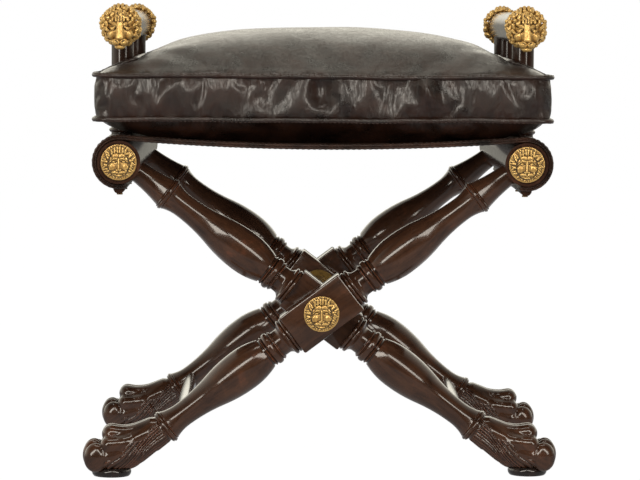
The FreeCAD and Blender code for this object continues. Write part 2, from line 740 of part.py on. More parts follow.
# Foot stretchers: thin turned rods, front to back between the feet of one frame.
def make_stretcher(frame, side):
    label = f"{frame}_foot_stretcher"
    body = new_body(label)
    tip = f"({LEG_Y[frame]} - soft_gap)"
    shoulder = f"({tip} - stretcher_shoulder)"
    turned(body, f"{label}_rod", [
        ("line", "0", f"-{tip}"),
        ("line", "stretcher_end_radius", f"-{tip}"),
        ("line", "stretcher_end_radius", f"-{shoulder}"),
        ("line", "stretcher_shoulder_radius", f"-{shoulder}"),
        ("into", "stretcher_middle_radius", "0"),
        ("from", "stretcher_shoulder_radius", shoulder),
        ("line", "stretcher_end_radius", shoulder),
        ("line", "stretcher_end_radius", tip),
        ("line", "0", tip),
    ])
    locate(body, (f"{-side}*{STRETCHER_U}*sin(leg_tilt)", "0",
                  f"{PIVOT_Z} - {STRETCHER_U}*cos(leg_tilt)"))


# Sling: a doubled leather sheet that sags between the rails, wraps over their outer sides and is
# tucked under them. Posts come up through holes in it.
def make_sling():
    body = new_body("sling")
    sag = f"(({RAIL_X}^2 - 2*{SLING_IN}*sling_sag + sling_sag^2)/(2*sling_sag))"
    span = f"({sag} + {SLING_IN})"
    rise = f"({SLING_IN} - sling_sag + {sag})"

    def leaving(side, radius):
        return f"{side}*({RAIL_X} - {radius}*{RAIL_X}/{span})", f"({radius}*{rise}/{span})"

    def outside(side, radius):
        return f"{side}*({RAIL_X} + {radius})", "0"

    def tucked(side, radius):
        return f"{side}*({RAIL_X} - {radius}*sin(sling_tuck))", f"-{radius}*cos(sling_tuck)"

    padded(body, "sling_sheet", [
        ("arc", *leaving(-1, SLING_IN), f"-{SLING_IN}"),
        ("arc", *leaving(1, SLING_IN), sag),
        ("arc", *outside(1, SLING_IN), f"-{SLING_IN}"),
        ("arc", *tucked(1, SLING_IN), f"-{SLING_IN}"),
        ("line", *tucked(1, SLING_OUT)),
        ("arc", *outside(1, SLING_OUT), SLING_OUT),
        ("arc", *leaving(1, SLING_OUT), SLING_OUT),
        ("arc", *leaving(-1, SLING_OUT), f"-({sag} - sling_thickness)"),
        ("arc", *outside(-1, SLING_OUT), SLING_OUT),
        ("arc", *tucked(-1, SLING_OUT), SLING_OUT),
        ("line", *tucked(-1, SLING_IN)),
        ("arc", *outside(-1, SLING_IN), f"-{SLING_IN}"),
    ], f"2*{SLING_END}")
    for side in ("-", ""):
        for facing in ("-", ""):
            rod(body, "sling_post_hole", "post_radius + post_slack", "2*rail_radius",
                (f"{side}{RAIL_X}", f"{facing}{POST_Y}", "0"), cut=True)
        for place in SCREW_PLACES:
            rod(body, "sling_screw_hole", "screw_radius + soft_gap", "2*rail_radius",
                (f"{side}{RAIL_X}", f"{place}*{SCREW_PITCH}", "-2*rail_radius"), cut=True)
    locate(body, ("0", "0", RAIL_Z))


# Battens: half-round strips that clamp the sling under the rails, and the screws through them.
BATTEN_SEAT = f"({SLING_OUT} + soft_gap)"
BATTEN_TOP = f"sqrt({BATTEN_SEAT}^2 - batten_width^2/4)"


def make_batten(frame, side):
    label = f"{frame}_sling_batten"
    body = new_body(label)
    half = "batten_width/2"
    padded(body, f"{label}_strip", [
        ("arc", f"-{half}", f"-{BATTEN_TOP}", f"-{dome(half, 'batten_height')}"),
        ("arc", half, f"-{BATTEN_TOP}", BATTEN_SEAT),
    ], f"2*({SLING_END} - batten_margin)")
    for place in SCREW_PLACES:
        rod(body, f"{label}_hole", "screw_radius + glue_gap", "2*rail_radius",
            ("0", f"{place}*{SCREW_PITCH}", f"-{BATTEN_TOP} - rail_radius"), cut=True)
    locate(body, (f"{side}*{RAIL_X}", "0", RAIL_Z))


def make_screws(frame, side):
    label = f"{frame}_batten_screws"
    body = new_body(label)
    under = f"({BATTEN_TOP} + batten_height)"
    for place in SCREW_PLACES:
        row = f"{place}*{SCREW_PITCH}"
        rod(body, f"{label}_shank", "screw_radius", f"{under} - rail_radius + screw_bite",
            ("0", row, f"-{under}"))
        rod(body, f"{label}_head", "screw_head_radius", "screw_head_height",
            ("0", row, f"-{under} - screw_head_height"))
    locate(body, (f"{side}*{RAIL_X}", "0", RAIL_Z))


# Cushion: a crowned box cushion, drawn in along its sides and notched between the posts, with a
# leather cover round a filling and piping along both seams.
def round_corners(body, name, solid, radius, corners):
    """Fillet the upright edges that stand at these corners of the plan."""
    doc.recompute()
    picked = []
    for index, edge in enumerate(solid.Shape.Edges, start=1):
        middle = edge.CenterOfMass
        if any(abs(abs(middle.x) - x) + abs(abs(middle.y) - y) < number("soft_gap") for x, y in corners):
            picked.append(f"Edge{index}")
    fillet = body.newObject("PartDesign::Fillet", name)
    fillet.Base = (solid, picked)
    bind(fillet, Radius=radius)
    return fillet


def arch(half, seam, height, name):
    """Steps of an arch of three arcs that run into each other, over a half width from a seam to a height.

    An arch that hangs has its height below the seam, and the name is that of its shoulder's sizes.
    """
    reach = f"({half}*{name}_shoulder_reach)"
    shoulder = f"({seam} + ({height} - {seam})*{name}_shoulder_lift)"
    rise = f"abs({height} - {shoulder})"
    run, fall = f"({half} - {reach})", f"abs({shoulder} - {seam})"
    middle_radius = dome(reach, rise)
    bend = f"(atan({fall}/{run}) - 2*atan({rise}/{reach}))"
    side_radius = f"(sqrt({run}^2 + {fall}^2)/(2*sin({bend})))"
    turn = "-" if number(height) > number(seam) else ""
    return [("line", f"-{half}", seam), ("arc", f"-{reach}", shoulder, f"{turn}{side_radius}"),
            ("arc", reach, shoulder, f"{turn}{middle_radius}"), ("arc", half, seam, f"{turn}{side_radius}")]


def crown_cut(body, name, plane, half, heights):
    """Cut away what lies above the crowned top and below the bellied bottom, seen along one way."""
    lowest, bottom, top, crown = heights
    beyond = f"({half} + crown_height)"
    sketch = sketch_on(body, f"{name}_outline", plane)
    for kind, seam, height, end in (("crown", top, crown, f"2*{crown}"),
                                    ("belly", bottom, lowest, f"-2*{crown}")):
        draw(sketch, [("line", f"-{beyond}", seam), *arch(half, seam, height, kind),
                      ("line", beyond, seam), ("line", beyond, end), ("line", f"-{beyond}", end)])
    cut = body.newObject("PartDesign::Pocket", name)
    cut.Profile = sketch
    cut.Midplane = True
    bind(cut, Length=f"4*{beyond}")


def make_cushion_form(label, inset):
    body = new_body(label)
    wide = f"({RAIL_X} + cushion_overhang - {inset})"
    waist = f"({RAIL_X} - notch_from_post - {inset})"
    deep = f"(rail_half_length - cushion_inset - {inset})"
    tab = f"({POST_Y} + tab_from_post + {inset})"
    front_bow = dome(wide, "cushion_draw")
    notch_bow = dome(tab, "cushion_draw")
    plan = padded(body, f"{label}_plan", [
        ("line", f"-{wide}", f"-{deep}"),
        ("arc", wide, f"-{deep}", f"-{front_bow}"),
        ("line", wide, f"-{tab}"),
        ("line", waist, f"-{tab}"),
        ("arc", waist, tab, f"-{notch_bow}"),
        ("line", wide, tab),
        ("line", wide, deep),
        ("arc", f"-{wide}", deep, f"-{front_bow}"),
        ("line", f"-{wide}", tab),
        ("line", f"-{waist}", tab),
        ("arc", f"-{waist}", f"-{tab}", f"-{notch_bow}"),
        ("line", f"-{wide}", f"-{tab}"),
    ], f"2*{CROWN}", "XY_Plane")
    x_wide, x_waist, y_deep, y_tab = number(wide), number(waist), number(deep), number(tab)
    outer_corners = ((x_wide, y_deep), (x_wide, y_tab))
    plan = round_corners(body, f"{label}_corners", plan, "cushion_corner", outer_corners)
    round_corners(body, f"{label}_notches", plan, "notch_corner", ((x_waist, y_tab),))
    heights = (f"({CUSHION_BASE} + {inset})", f"({BOTTOM_SEAM} + {inset})",
               f"({TOP_SEAM} - {inset})", f"({CROWN} - {inset})")
    crown_cut(body, f"{label}_side_crown", "XZ_Plane", wide, heights)
    crown_cut(body, f"{label}_front_crown", "YZ_Plane", deep, heights)
    return body


def make_piping(label, form, seam):
    """A round cord along a seam, outside the boxing."""
    doc.recompute()
    level = number(f"({BOTTOM_SEAM} + {TOP_SEAM})/2")
    boxing = form.Shape.slice(Z_AXIS, level)[0]
    path = boxing.makeOffset2D(number("piping_radius + soft_gap"))
    path.translate(FreeCAD.Vector(0, 0, number(seam) - level))
    first = path.OrderedEdges[0]
    start = first.valueAt(first.FirstParameter)
    heading = first.tangentAt(first.FirstParameter)
    ring = Part.Wire(Part.Circle(start, heading, number("piping_radius")).toShape())
    cord = doc.addObject("Part::Feature", label)
    cord.Label = label
    cord.Shape = Part.Wire(path.OrderedEdges).makePipeShell([ring], True, False)
    return cord


def make_cushion():
    form = make_cushion_form("cushion_form", "0")
    filling = make_cushion_form("cushion_filling", "leather")
    cover = doc.addObject("Part::Cut", "cushion_cover")
    cover.Label = "cushion_cover"
    cover.Base = form
    cover.Tool = filling
    return [cover, filling, make_piping("cushion_top_piping", form, TOP_SEAM),
            make_piping("cushion_bottom_piping", form, BOTTOM_SEAM)]


# Assembly: the outer frame has its rail on the right and its feet on the left, the inner one the
# other way round.
first_paw = None
first_head = None
for frame, side in (("outer", 1), ("inner", -1)):
    make_rail(frame, side)
    make_handle(frame, side)
    make_batten(frame, side)
    make_screws(frame, side)
    make_stretcher(frame, side)
    to_toes = HALF_TURN if side > 0 else UPRIGHT
    for end, facing in (("front", -1), ("back", 1)):
        make_leg(frame, end, side, facing)
        foot = (f"{-side}*{FOOT_X}", f"{facing}*{LEG_Y[frame]}", "0")
        paw_label = f"{frame}_{end}_paw"
        paw = copy_of(first_paw, paw_label) if first_paw else make_paw(paw_label)
        first_paw = first_paw or paw
        locate(paw, foot, to_toes)
        locate(make_foot_pad(f"{frame}_{end}_foot_pad"), foot)
        make_post(f"{frame}_{end}_post", (f"{side}*{RAIL_X}", f"{facing}*{POST_Y}", RAIL_Z))
        outward = HALF_TURN if facing < 0 else UPRIGHT
        head_label = f"{frame}_{end}_lion_head"
        head = copy_of(first_head, head_label) if first_head else make_lion_head(head_label)
        first_head = first_head or head
        locate(head, (f"{side}*{RAIL_X}", f"{facing}*{HANDLE_END}", HANDLE_Z), outward)
        rosette = make_rosette(f"{frame}_{end}_rosette", "rosette_pin_radius", "rosette_pin_length")
        locate(rosette, (f"{side}*{RAIL_X}", f"{facing}*(rail_half_length - rail_recess)", RAIL_Z), outward)
make_pivot()
make_sling()
cushion = make_cushion()
doc.recompute()

bodies = [item for item in doc.Objects if item.TypeId == "PartDesign::Body"]
pieces = [item for item in bodies if item.Label not in ("cushion_form", "cushion_filling")] + cushion
failed = [item.Label for item in doc.Objects if "Invalid" in item.State or "Error" in item.State]
failed += [item.Label for item in pieces if item.Shape.isNull() or not item.Shape.isValid()]
if failed:
    raise RuntimeError(f"these did not build: {failed}")

os.makedirs("parts", exist_ok=True)
for item in pieces:
    item.Shape.exportStep(f"parts/{item.Label}.step")
print(f"{len(pieces)} pieces written")
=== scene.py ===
import math
from contextlib import contextmanager

import bmesh
import bpy
import numpy as np
from mathutils import Matrix, Vector
from mathutils.geometry import delaunay_2d_cdt


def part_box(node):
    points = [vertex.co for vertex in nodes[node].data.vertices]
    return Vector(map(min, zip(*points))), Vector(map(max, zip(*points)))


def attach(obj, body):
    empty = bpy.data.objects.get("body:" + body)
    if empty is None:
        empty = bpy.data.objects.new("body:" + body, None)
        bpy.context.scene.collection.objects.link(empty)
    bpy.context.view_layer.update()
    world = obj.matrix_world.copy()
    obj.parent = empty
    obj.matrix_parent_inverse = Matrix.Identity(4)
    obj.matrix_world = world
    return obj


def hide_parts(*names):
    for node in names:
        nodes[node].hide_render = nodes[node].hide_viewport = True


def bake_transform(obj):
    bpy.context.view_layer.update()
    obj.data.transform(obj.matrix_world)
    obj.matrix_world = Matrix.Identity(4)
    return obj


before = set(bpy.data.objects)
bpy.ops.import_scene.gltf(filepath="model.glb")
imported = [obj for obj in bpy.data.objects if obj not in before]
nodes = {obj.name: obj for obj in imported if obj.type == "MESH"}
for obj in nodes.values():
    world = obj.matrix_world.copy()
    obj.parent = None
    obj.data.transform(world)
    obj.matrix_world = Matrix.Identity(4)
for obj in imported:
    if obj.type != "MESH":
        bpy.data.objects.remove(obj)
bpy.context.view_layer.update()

# Turned legs. Four lacquered mahogany legs, each turned from one square billet with the block
# at the crossing left square. Years of handling have rubbed the rings through to red wood.
MM = 0.001
LEG_Y = {"outer": 207.5, "inner": 179.5}
ENDS = (("front", -1), ("back", 1))
CORNERS = [(side, way, end, along) for side, way in (("outer", 1), ("inner", -1)) for end, along in ENDS]


def middle(name):
    """Middle of a solid's box, in millimetres."""
    low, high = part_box(name)
    return (low + high) / (2 * MM)


RAIL_X, RAIL_Z = middle("outer_rail").x, middle("outer_rail").z
PIVOT_Z = middle("pivot_rod").z
LEG_TILT = math.atan2(RAIL_X, RAIL_Z - PIVOT_Z)


def tint(code):
    """Linear colour of a six-digit hex code."""
    parts = [int(code[i:i + 2], 16) / 255 for i in (0, 2, 4)]
    return tuple(c / 12.92 if c <= 0.04045 else ((c + 0.055) / 1.055) ** 2.4 for c in parts) + (1.0,)


def put(tree, kind, inputs=None, **settings):
    """Add a node, and set or link its inputs by name or number."""
    node = tree.nodes.new(kind)
    for key, value in settings.items():
        setattr(node, key, value)
    for key, value in (inputs or {}).items():
        if isinstance(value, bpy.types.NodeSocket):
            tree.links.new(value, node.inputs[key])
        else:
            node.inputs[key].default_value = value
    return node


def calc(tree, operation, first, second=0.0, third=0.0):
    node = put(tree, "ShaderNodeMath", {0: first, 1: second, 2: third}, operation=operation)
    return node.outputs[0]


def spread(tree, value, low, high, to_low=0.0, to_high=1.0):
    """Clamped stretch of a value from one span to another."""
    node = put(tree, "ShaderNodeMapRange", {"Value": value, "From Min": low, "From Max": high,
                                            "To Min": to_low, "To Max": to_high})
    return node.outputs[0]


def mixed(tree, share, first, second):
    return put(tree, "ShaderNodeMix", {0: share, 6: first, 7: second}, data_type="RGBA").outputs[2]


def cloud(tree, place, scale, detail=3.0, rough=0.55, twist=0.0):
    node = put(tree, "ShaderNodeTexNoise", {"Vector": place, "Scale": scale, "Detail": detail,
                                            "Roughness": rough, "Distortion": twist})
    return node.outputs["Fac"]


def drawn_out(tree, place, share):
    """Place with its Z shortened, so that what is laid on it is drawn out along Z."""
    return put(tree, "ShaderNodeMapping", {"Vector": place, "Scale": (1.0, 1.0, share)}).outputs[0]


def new_group(name, colours, results, values=()):
    """Empty shader group: a place, colours, marks and values go in, a colour and results come out."""
    tree = bpy.data.node_groups.new(name, "ShaderNodeTree")
    sockets = [("INPUT", "Place", "Vector")]
    sockets += [("INPUT", label, "Color") for label in colours]
    sockets += [("INPUT", label, "Float") for label in ("Edge", "Hollow", *values)]
    sockets += [("OUTPUT", "Color", "Color")]
    sockets += [("OUTPUT", label, "Float") for label in results]
    for way, label, kind in sockets:
        tree.interface.new_socket(label, in_out=way, socket_type=f"NodeSocket{kind}")
    return tree, tree.nodes.new("NodeGroupInput").outputs, tree.nodes.new("NodeGroupOutput").inputs


def put_out(tree, gives, **results):
    for label, socket in results.items():
        tree.links.new(socket, gives[label])


def lacquered_grain():
    """Stained, pored and rubbed wood, with painted shade in its grooves and hollows; the grain runs along Z
    of the place it is given.
    """
    tree, given, gives = new_group("lacquered_grain", ("Dark", "Light", "Rubbed"), ("Roughness", "Height"))
    along = drawn_out(tree, given["Place"], 0.07)
    streak = cloud(tree, along, 210.0, 5.0, 0.6, 0.4)
    pore = spread(tree, cloud(tree, along, 1500.0, 2.0, 0.5), 0.60, 0.72)
    patch = cloud(tree, given["Place"], 17.0, 4.0, 0.6, 0.6)
    scuff = cloud(tree, given["Place"], 75.0, 5.0, 0.65)
    body = calc(tree, "MULTIPLY_ADD", streak, 0.6, calc(tree, "MULTIPLY", patch, 0.6))
    stain = mixed(tree, spread(tree, body, 0.36, 0.90), given["Dark"], given["Light"])
    rub = calc(tree, "MULTIPLY", spread(tree, given["Edge"], 0.10, 0.55), spread(tree, scuff, 0.40, 0.62))
    bare = calc(tree, "MULTIPLY", spread(tree, patch, 0.56, 0.70), spread(tree, scuff, 0.46, 0.66, 0.0, 0.55))
    worn = mixed(tree, calc(tree, "MAXIMUM", rub, bare), stain, given["Rubbed"])
    pored = mixed(tree, calc(tree, "MULTIPLY", pore, 0.45), worn, (0.004, 0.002, 0.0015, 1.0))
    # Painted shade: grooves and hollows are darkened towards near black.
    sunk = spread(tree, given["Hollow"], 0.05, 0.42, 0.0, 0.9)
    put_out(tree, gives, Color=mixed(tree, sunk, pored, (0.0045, 0.0028, 0.002, 1.0)),
            Roughness=spread(tree, scuff, 0.3, 0.75, 0.22, 0.42),
            Height=calc(tree, "MULTIPLY_ADD", pore, -0.5, streak))
    return tree


GRAIN = lacquered_grain()


def object_place(tree, turn=(0.0, 0.0, 0.0)):
    here = put(tree, "ShaderNodeTexCoord").outputs["Object"]
    return put(tree, "ShaderNodeMapping", {"Vector": here, "Rotation": turn}).outputs[0]


def finish_of(name):
    """New material; gives it, its tree and its Principled shader."""
    material = bpy.data.materials.new(name)
    material.use_nodes = True
    return material, material.node_tree, material.node_tree.nodes["Principled BSDF"]


def all_over(shader, values):
    """Set what is the same all over a surface, on the shader's own sockets."""
    for label, value in values.items():
        shader.inputs[label].default_value = value


def finish_from(group, name, colours, bump, turn=(0.0, 0.0, 0.0)):
    """New material that takes its look from a group; gives it, its shader and the group's node."""
    material, tree, shader = finish_of(name)
    inputs = {label: tint(code) for label, code in colours.items()}
    inputs["Place"] = object_place(tree, turn)
    for mark in ("Edge", "Hollow"):
        inputs[mark] = put(tree, "ShaderNodeAttribute", attribute_name=mark.lower()).outputs["Fac"]
    look = put(tree, "ShaderNodeGroup", inputs, node_tree=group)
    for label, socket in (("Color", "Base Color"), ("Roughness", "Roughness"), ("Metallic", "Metallic")):
        if label in look.outputs:
            tree.links.new(look.outputs[label], shader.inputs[socket])
    strength, distance = bump
    relief = put(tree, "ShaderNodeBump", {"Height": look.outputs["Height"], "Strength": strength,
                                          "Distance": distance})
    tree.links.new(relief.outputs[0], shader.inputs["Normal"])
    return material, shader, look


def mahogany(name, turn, dark="1b0e09", light="523524", rubbed="6e3b24"):
    """Stained wood under a clear lacquer."""
    stain = {"Dark": dark, "Light": light, "Rubbed": rubbed}
    material, shader, _ = finish_from(GRAIN, name, stain, (0.12, 0.0004), turn)
    all_over(shader, {"Specular IOR Level": 0.1, "Coat Weight": 1.0, "Coat Roughness": 0.11})
    return material


LEG_WOOD = {"outer": mahogany("mahogany_outer_legs", (0.0, -LEG_TILT, 0.0)),
            "inner": mahogany("mahogany_inner_legs", (0.0, LEG_TILT, 0.0))}


def show(name, mesh, material):
    obj = bpy.data.objects.new(name, mesh)
    bpy.context.scene.collection.objects.link(obj)
    mesh.materials.clear()
    mesh.materials.append(material)
    return obj


def rows_of(items, label, width, kind=np.float32):
    """One attribute of a mesh's points or edges, as rows of numbers."""
    flat = np.empty(len(items) * width, dtype=kind)
    items.foreach_get(label, flat)
    return flat.reshape(-1, width)


def mark_relief(mesh, reach, passes):
    """Write how far each point stands out as an edge, or lies in a hollow, for the finishes."""
    count = len(mesh.vertices)
    place = rows_of(mesh.vertices, "co", 3)
    normal = rows_of(mesh.vertex_normals, "vector", 3)
    a, b = rows_of(mesh.edges, "vertices", 2, np.int32).T
    step = place[b] - place[a]
    length = np.linalg.norm(step, axis=1) + 1e-9
    drop = -(normal[a] * step).sum(1), (normal[b] * step).sum(1)
    bend = np.bincount(a, drop[0], count) + np.bincount(b, drop[1], count)
    share = np.bincount(a, length ** 2, count) + np.bincount(b, length ** 2, count)
    bend = 2 * bend / (share + 1e-12)
    weight = np.bincount(a, minlength=count) + np.bincount(b, minlength=count)
    for _ in range(passes):
        around = np.bincount(a, bend[b], count) + np.bincount(b, bend[a], count)
        bend = 0.5 * bend + 0.5 * around / weight
    for label, value in (("edge", bend), ("hollow", -bend)):
        layer = mesh.attributes.new(label, "FLOAT", "POINT")
        layer.data.foreach_set("value", np.clip(value * reach, 0.0, 1.0).astype(np.float32))


def stand_for(obj, name):
    """Let an object ride on a solid's body and show in that solid's place."""
    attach(obj, "inner_frame" if name.startswith(("inner", "center")) else "outer_frame")
    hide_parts(name)


def cut_rings(work, heart, axis):
    """Turn the fine beads and quirks of the collars, at the same stations up and down the leg."""
    rings = ((49.9, 1.1, -0.9), (54.7, 0.9, -0.7), (69.2, 1.8, 1.5), (71.5, 1.1, -1.1),
             (79.6, 1.1, -1.0), (81.8, 1.8, 2.0), (234.0, 1.2, 0.9), (240.0, 1.1, -1.3))
    for low, high in ((48.6, 51.2), (53.6, 55.8), (67.2, 84.0), (232.6, 241.4)):
        for way in (-1, 1):
            near = [face for face in work.faces
                    if any(low - 0.5 < way * (v.co - heart).dot(axis) / MM < high + 0.5 for v in face.verts)]
            geom = near + list(dict.fromkeys(item for face in near for item in (*face.edges, *face.verts)))
            for station in np.arange(low, high, 0.45):
                geom = bmesh.ops.bisect_plane(work, geom=geom, dist=1e-7, plane_no=axis,
                                              plane_co=heart + axis * (way * station * MM))["geom"]
    for vertex in work.verts:
        station = (vertex.co - heart).dot(axis)
        spoke = vertex.co - heart - axis * station
        if 14.0 * MM < spoke.length < 27.0 * MM:
            offs = [(abs(station) / MM - at) / half for at, half, _ in rings]
            swell = sum(high * max(0.0, 1.0 - off * off) ** 2 for off, (_, _, high) in zip(offs, rings))
            vertex.co += spoke.normalized() * swell * MM


@contextmanager
def bench(mesh):
    """Open a mesh to work on it with bmesh, and write it back at the end."""
    work = bmesh.new()
    work.from_mesh(mesh)
    yield work
    work.to_mesh(mesh)
    work.free()


def dress(name, piece, material, eased=0.0, lathe=None):
    """A merged copy of a solid, its long arrises eased and marked for wear and painted shade, that stands for
    it.
    """
    mesh = nodes[name].data.copy()
    with bench(mesh) as work:
        bmesh.ops.remove_doubles(work, verts=work.verts, dist=0.00002)
        if lathe:
            cut_rings(work, *lathe)
        if eased:
            joins = [edge for edge in work.edges if len(edge.link_faces) == 2 and edge.calc_length() > 0.02]
            arrises = [edge for edge in joins if edge.calc_face_angle() > math.radians(70)]
            bmesh.ops.bevel(work, geom=arrises, offset=eased, segments=2, profile=0.5, affect="EDGES")
    if "custom_normal" in mesh.attributes:
        mesh.attributes.remove(mesh.attributes["custom_normal"])
    mesh.shade_smooth()
    mesh.set_sharp_from_angle(angle=math.radians(40))
    mark_relief(mesh, reach=0.0022, passes=1)
    stand_for(show(piece, mesh, material), name)


for side, way, end, along in CORNERS:
    heart = Vector((0.0, along * LEG_Y[side] * MM, PIVOT_Z * MM))
    axis = Vector((way * math.sin(LEG_TILT), 0.0, math.cos(LEG_TILT)))
    dress(f"{side}_{end}_leg", f"{side}_{end}_turned_leg", LEG_WOOD[side],
          eased=0.0020, lathe=(heart, axis))

# Paws. Each leg ends in a lion's paw, carved in the round: four toes with raised knuckles, a
# smooth instep, and locks of hair cut down the sides and the heel from the ring to the sole.
RING_END, SOLE, PAD_ROUND = 242.4, 10.6, 24.4
FOOT_X = middle("inner_front_foot_pad").x
ANKLE = (RING_END * math.sin(LEG_TILT) - FOOT_X, 0.0, PIVOT_Z - RING_END * math.cos(LEG_TILT))


def ball(p, centre, radii):
    """Distance to an ellipsoid, near enough."""
    q = [(a - c) / r for a, c, r in zip(p, centre, radii)]
    near = np.sqrt(q[0] ** 2 + q[1] ** 2 + q[2] ** 2)
    slope = np.sqrt(sum((a / r) ** 2 for a, r in zip(q, radii))) + 1e-6
    return near * (near - 1.0) / slope


def rope(p, start, end, start_radius, end_radius):
    """Distance to a tapering round bar with round ends."""
    run = [b - a for a, b in zip(start, end)]
    span = sum(a * a for a in run)
    share = np.clip(sum((a - s) * d for a, s, d in zip(p, start, run)) / span, 0.0, 1.0)
    away = sum((a - s - share * d) ** 2 for a, s, d in zip(p, start, run))
    return np.sqrt(away) - start_radius - share * (end_radius - start_radius)


def melt(first, second, soft):
    """Join two forms with a soft fillet."""
    share = np.clip(0.5 + 0.5 * (second - first) / soft, 0.0, 1.0)
    return second + (first - second) * share - soft * share * (1.0 - share)


def gouge(form, tool, soft):
    return -melt(-form, tool, soft)


def worked(form, p, strokes):
    """Work a form with strokes in turn: the act, the tool, the tool's sizes, and how soft its rim is."""
    for act, tool, *sizes, soft in strokes:
        form = act(form, tool(p, *sizes), soft)
    return form


def ease(value, low, high):
    share = np.clip((value - low) / (high - low), 0.0, 1.0)
    return share * share * (3.0 - 2.0 * share)


def carve(field, low, high, step):
    """Skin of the form where the field is below nought, as points in millimetres and quads."""
    axes = [np.arange(a, b + step, step, dtype=np.float32) for a, b in zip(low, high)]
    value = field(*np.meshgrid(*axes, indexing="ij"))
    inside = value < 0
    corners = [(i, j, k) for i in (0, 1) for j in (0, 1) for k in (0, 1)]
    size = [n - 1 for n in value.shape]
    filled = sum(inside[i:i + size[0], j:j + size[1], k:k + size[2]].astype(np.int8) for i, j, k in corners)
    cells = np.argwhere((filled > 0) & (filled < 8))
    number = np.full(size, -1, dtype=np.int32)
    number[tuple(cells.T)] = np.arange(len(cells))
    total = np.zeros((len(cells), 3), dtype=np.float32)
    hits = np.zeros(len(cells), dtype=np.float32)
    for axis in range(3):
        for corner in corners:
            if corner[axis]:
                continue
            start = cells + corner
            end = start.copy()
            end[:, axis] += 1
            a, b = value[tuple(start.T)], value[tuple(end.T)]
            cross = (a < 0) != (b < 0)
            point = np.array(corner, dtype=np.float32) + np.zeros((len(cells), 3), dtype=np.float32)
            point[:, axis] += np.where(cross, a / np.where(cross, a - b, 1.0), 0.0)
            total += np.where(cross[:, None], point, 0.0)
            hits += cross
    points = np.array(low, dtype=np.float32) + step * (cells + total / hits[:, None])
    quads = []
    for axis in range(3):
        u, v = (axis + 1) % 3, (axis + 2) % 3
        first = np.take(inside, range(value.shape[axis] - 1), axis)
        second = np.take(inside, range(1, value.shape[axis]), axis)
        for change, turned in ((first & ~second, False), (~first & second, True)):
            edge = np.argwhere(change)
            ring = []
            for du, dv in ((-1, -1), (0, -1), (0, 0), (-1, 0)):
                cell = edge.copy()
                cell[:, u] += du
                cell[:, v] += dv
                ring.append(number[tuple(cell.T)])
            quads.append(np.stack(ring[::-1] if turned else ring, 1))
    return points, np.concatenate(quads)


def mesh_of(name, points, faces, edges=()):
    mesh = bpy.data.meshes.new(name)
    mesh.from_pydata(points, edges, faces)
    return mesh


def set_at(x, y, z, facing):
    """Place given in millimetres, turned half round where the facing is negative."""
    turn = Matrix.Rotation(math.pi, 4, "Z") if facing < 0 else Matrix.Identity(4)
    return Matrix.Translation((x * MM, y * MM, z * MM)) @ turn


def carved(name, shape, material, place, reach, passes):
    """Object from carved points, set in place in metres."""
    points, quads = shape
    flat = np.concatenate([points * MM, np.ones((len(points), 1), dtype=np.float32)], 1)
    mesh = mesh_of(name, (flat @ np.array(place).T)[:, :3].tolist(), quads.tolist())
    mesh.shade_smooth()
    mark_relief(mesh, reach, passes)
    return show(name, mesh, material)


def paw(reach, across, height):
    """Paw over the middle of its pad, with the leg coming down from behind; reach grows to the toes."""
    half = (reach, np.abs(across), height)
    ahead, up = reach - ANKLE[0], height - ANKLE[2]
    down_leg = ahead * math.sin(LEG_TILT) - up * math.cos(LEG_TILT)
    over_leg = ahead * math.cos(LEG_TILT) + up * math.sin(LEG_TILT)
    form = worked(rope(half, ANKLE, (-25.0, 0.0, 29.5), 16.8, 17.0), half, (
        (melt, ball, (-2.0, 0.0, 22.0), (28.0, 25.0, 17.0), 9.0),
        (melt, rope, (3.0, 17.6, 26.0), (-26.0, 12.5, 34.0), 12.0, 12.5, 5.0)))
    # the four metatarsal ridges
    for knee, bend, back, thick in (((3.0, 19.4, 40.0), (-18.0, 16.6, 41.5), (-47.0, 9.5, 54.0), 9.8),
                                    ((0.5, 7.4, 52.6), (-20.0, 6.4, 50.6), (-49.0, 4.4, 60.0), 10.8)):
        fore = rope(half, knee, bend, thick + 0.4, thick - 0.8)
        rear = rope(half, bend, back, thick - 0.8, thick + 1.2)
        form = melt(form, melt(fore, rear, 7.0), 4.0)
    # hair: tiers of locks along the leg, cut into even strands
    girth = np.arctan2(half[1], -over_leg) * 22.0
    sway = 2.4 * np.sin(down_leg / 13.0 + 0.10 * girth)
    strand = girth + sway + 0.16 * down_leg
    groove = (1.0 - np.abs(np.sin(np.pi * strand / 3.9))) ** 1.1
    parting = (1.0 - np.abs(np.sin(np.pi * (strand + 1.2) / 15.6))) ** 4
    tier = (down_leg + 0.42 * girth + 1.6 * np.sin(girth / 3.6)) / 26.0
    tip = tier - np.floor(tier)
    brim = 9.0 + 2.6 * np.sin(down_leg / 6.0 + 0.6)
    hairy = ease(brim - over_leg, -0.8, 1.4) * ease(down_leg, 0.5, 4.0)
    form = form - hairy * (0.8 + tip * ease(1.0 - tip, 0.0, 0.2) - 1.7 * groove - parting)
    # toes, each a heavy bulb folded down in front of its knuckle
    form = worked(form, half, (
        (melt, ball, (18.6, 20.4, 24.4), (14.6, 9.9, 18.0), 1.4),
        (melt, ball, (21.8, 7.6, 26.6), (13.4, 8.9, 18.6), 1.4),
        (gouge, rope, (12.6, 13.0, 38.6), (11.2, 29.0, 33.5), 0.5, 0.5, 1.6),
        (gouge, rope, (15.2, 2.0, 44.6), (14.6, 13.5, 42.0), 0.5, 0.5, 1.6)))
    below = np.minimum(SOLE - height, PAD_ROUND - np.hypot(reach, across))
    return np.maximum(np.maximum(form, below), -2.0 - down_leg)


PAW_SHAPE = carve(paw, (-84.0, -34.0, 4.0), (39.0, 34.0, 86.0), step=0.66)
for side, way, end, along in CORNERS:
    place = set_at(-way * FOOT_X, along * LEG_Y[side], 0.0, -way)
    obj = carved(f"{side}_{end}_carved_paw", PAW_SHAPE, LEG_WOOD[side], place, reach=0.0007, passes=2)
    stand_for(obj, f"{side}_{end}_paw")

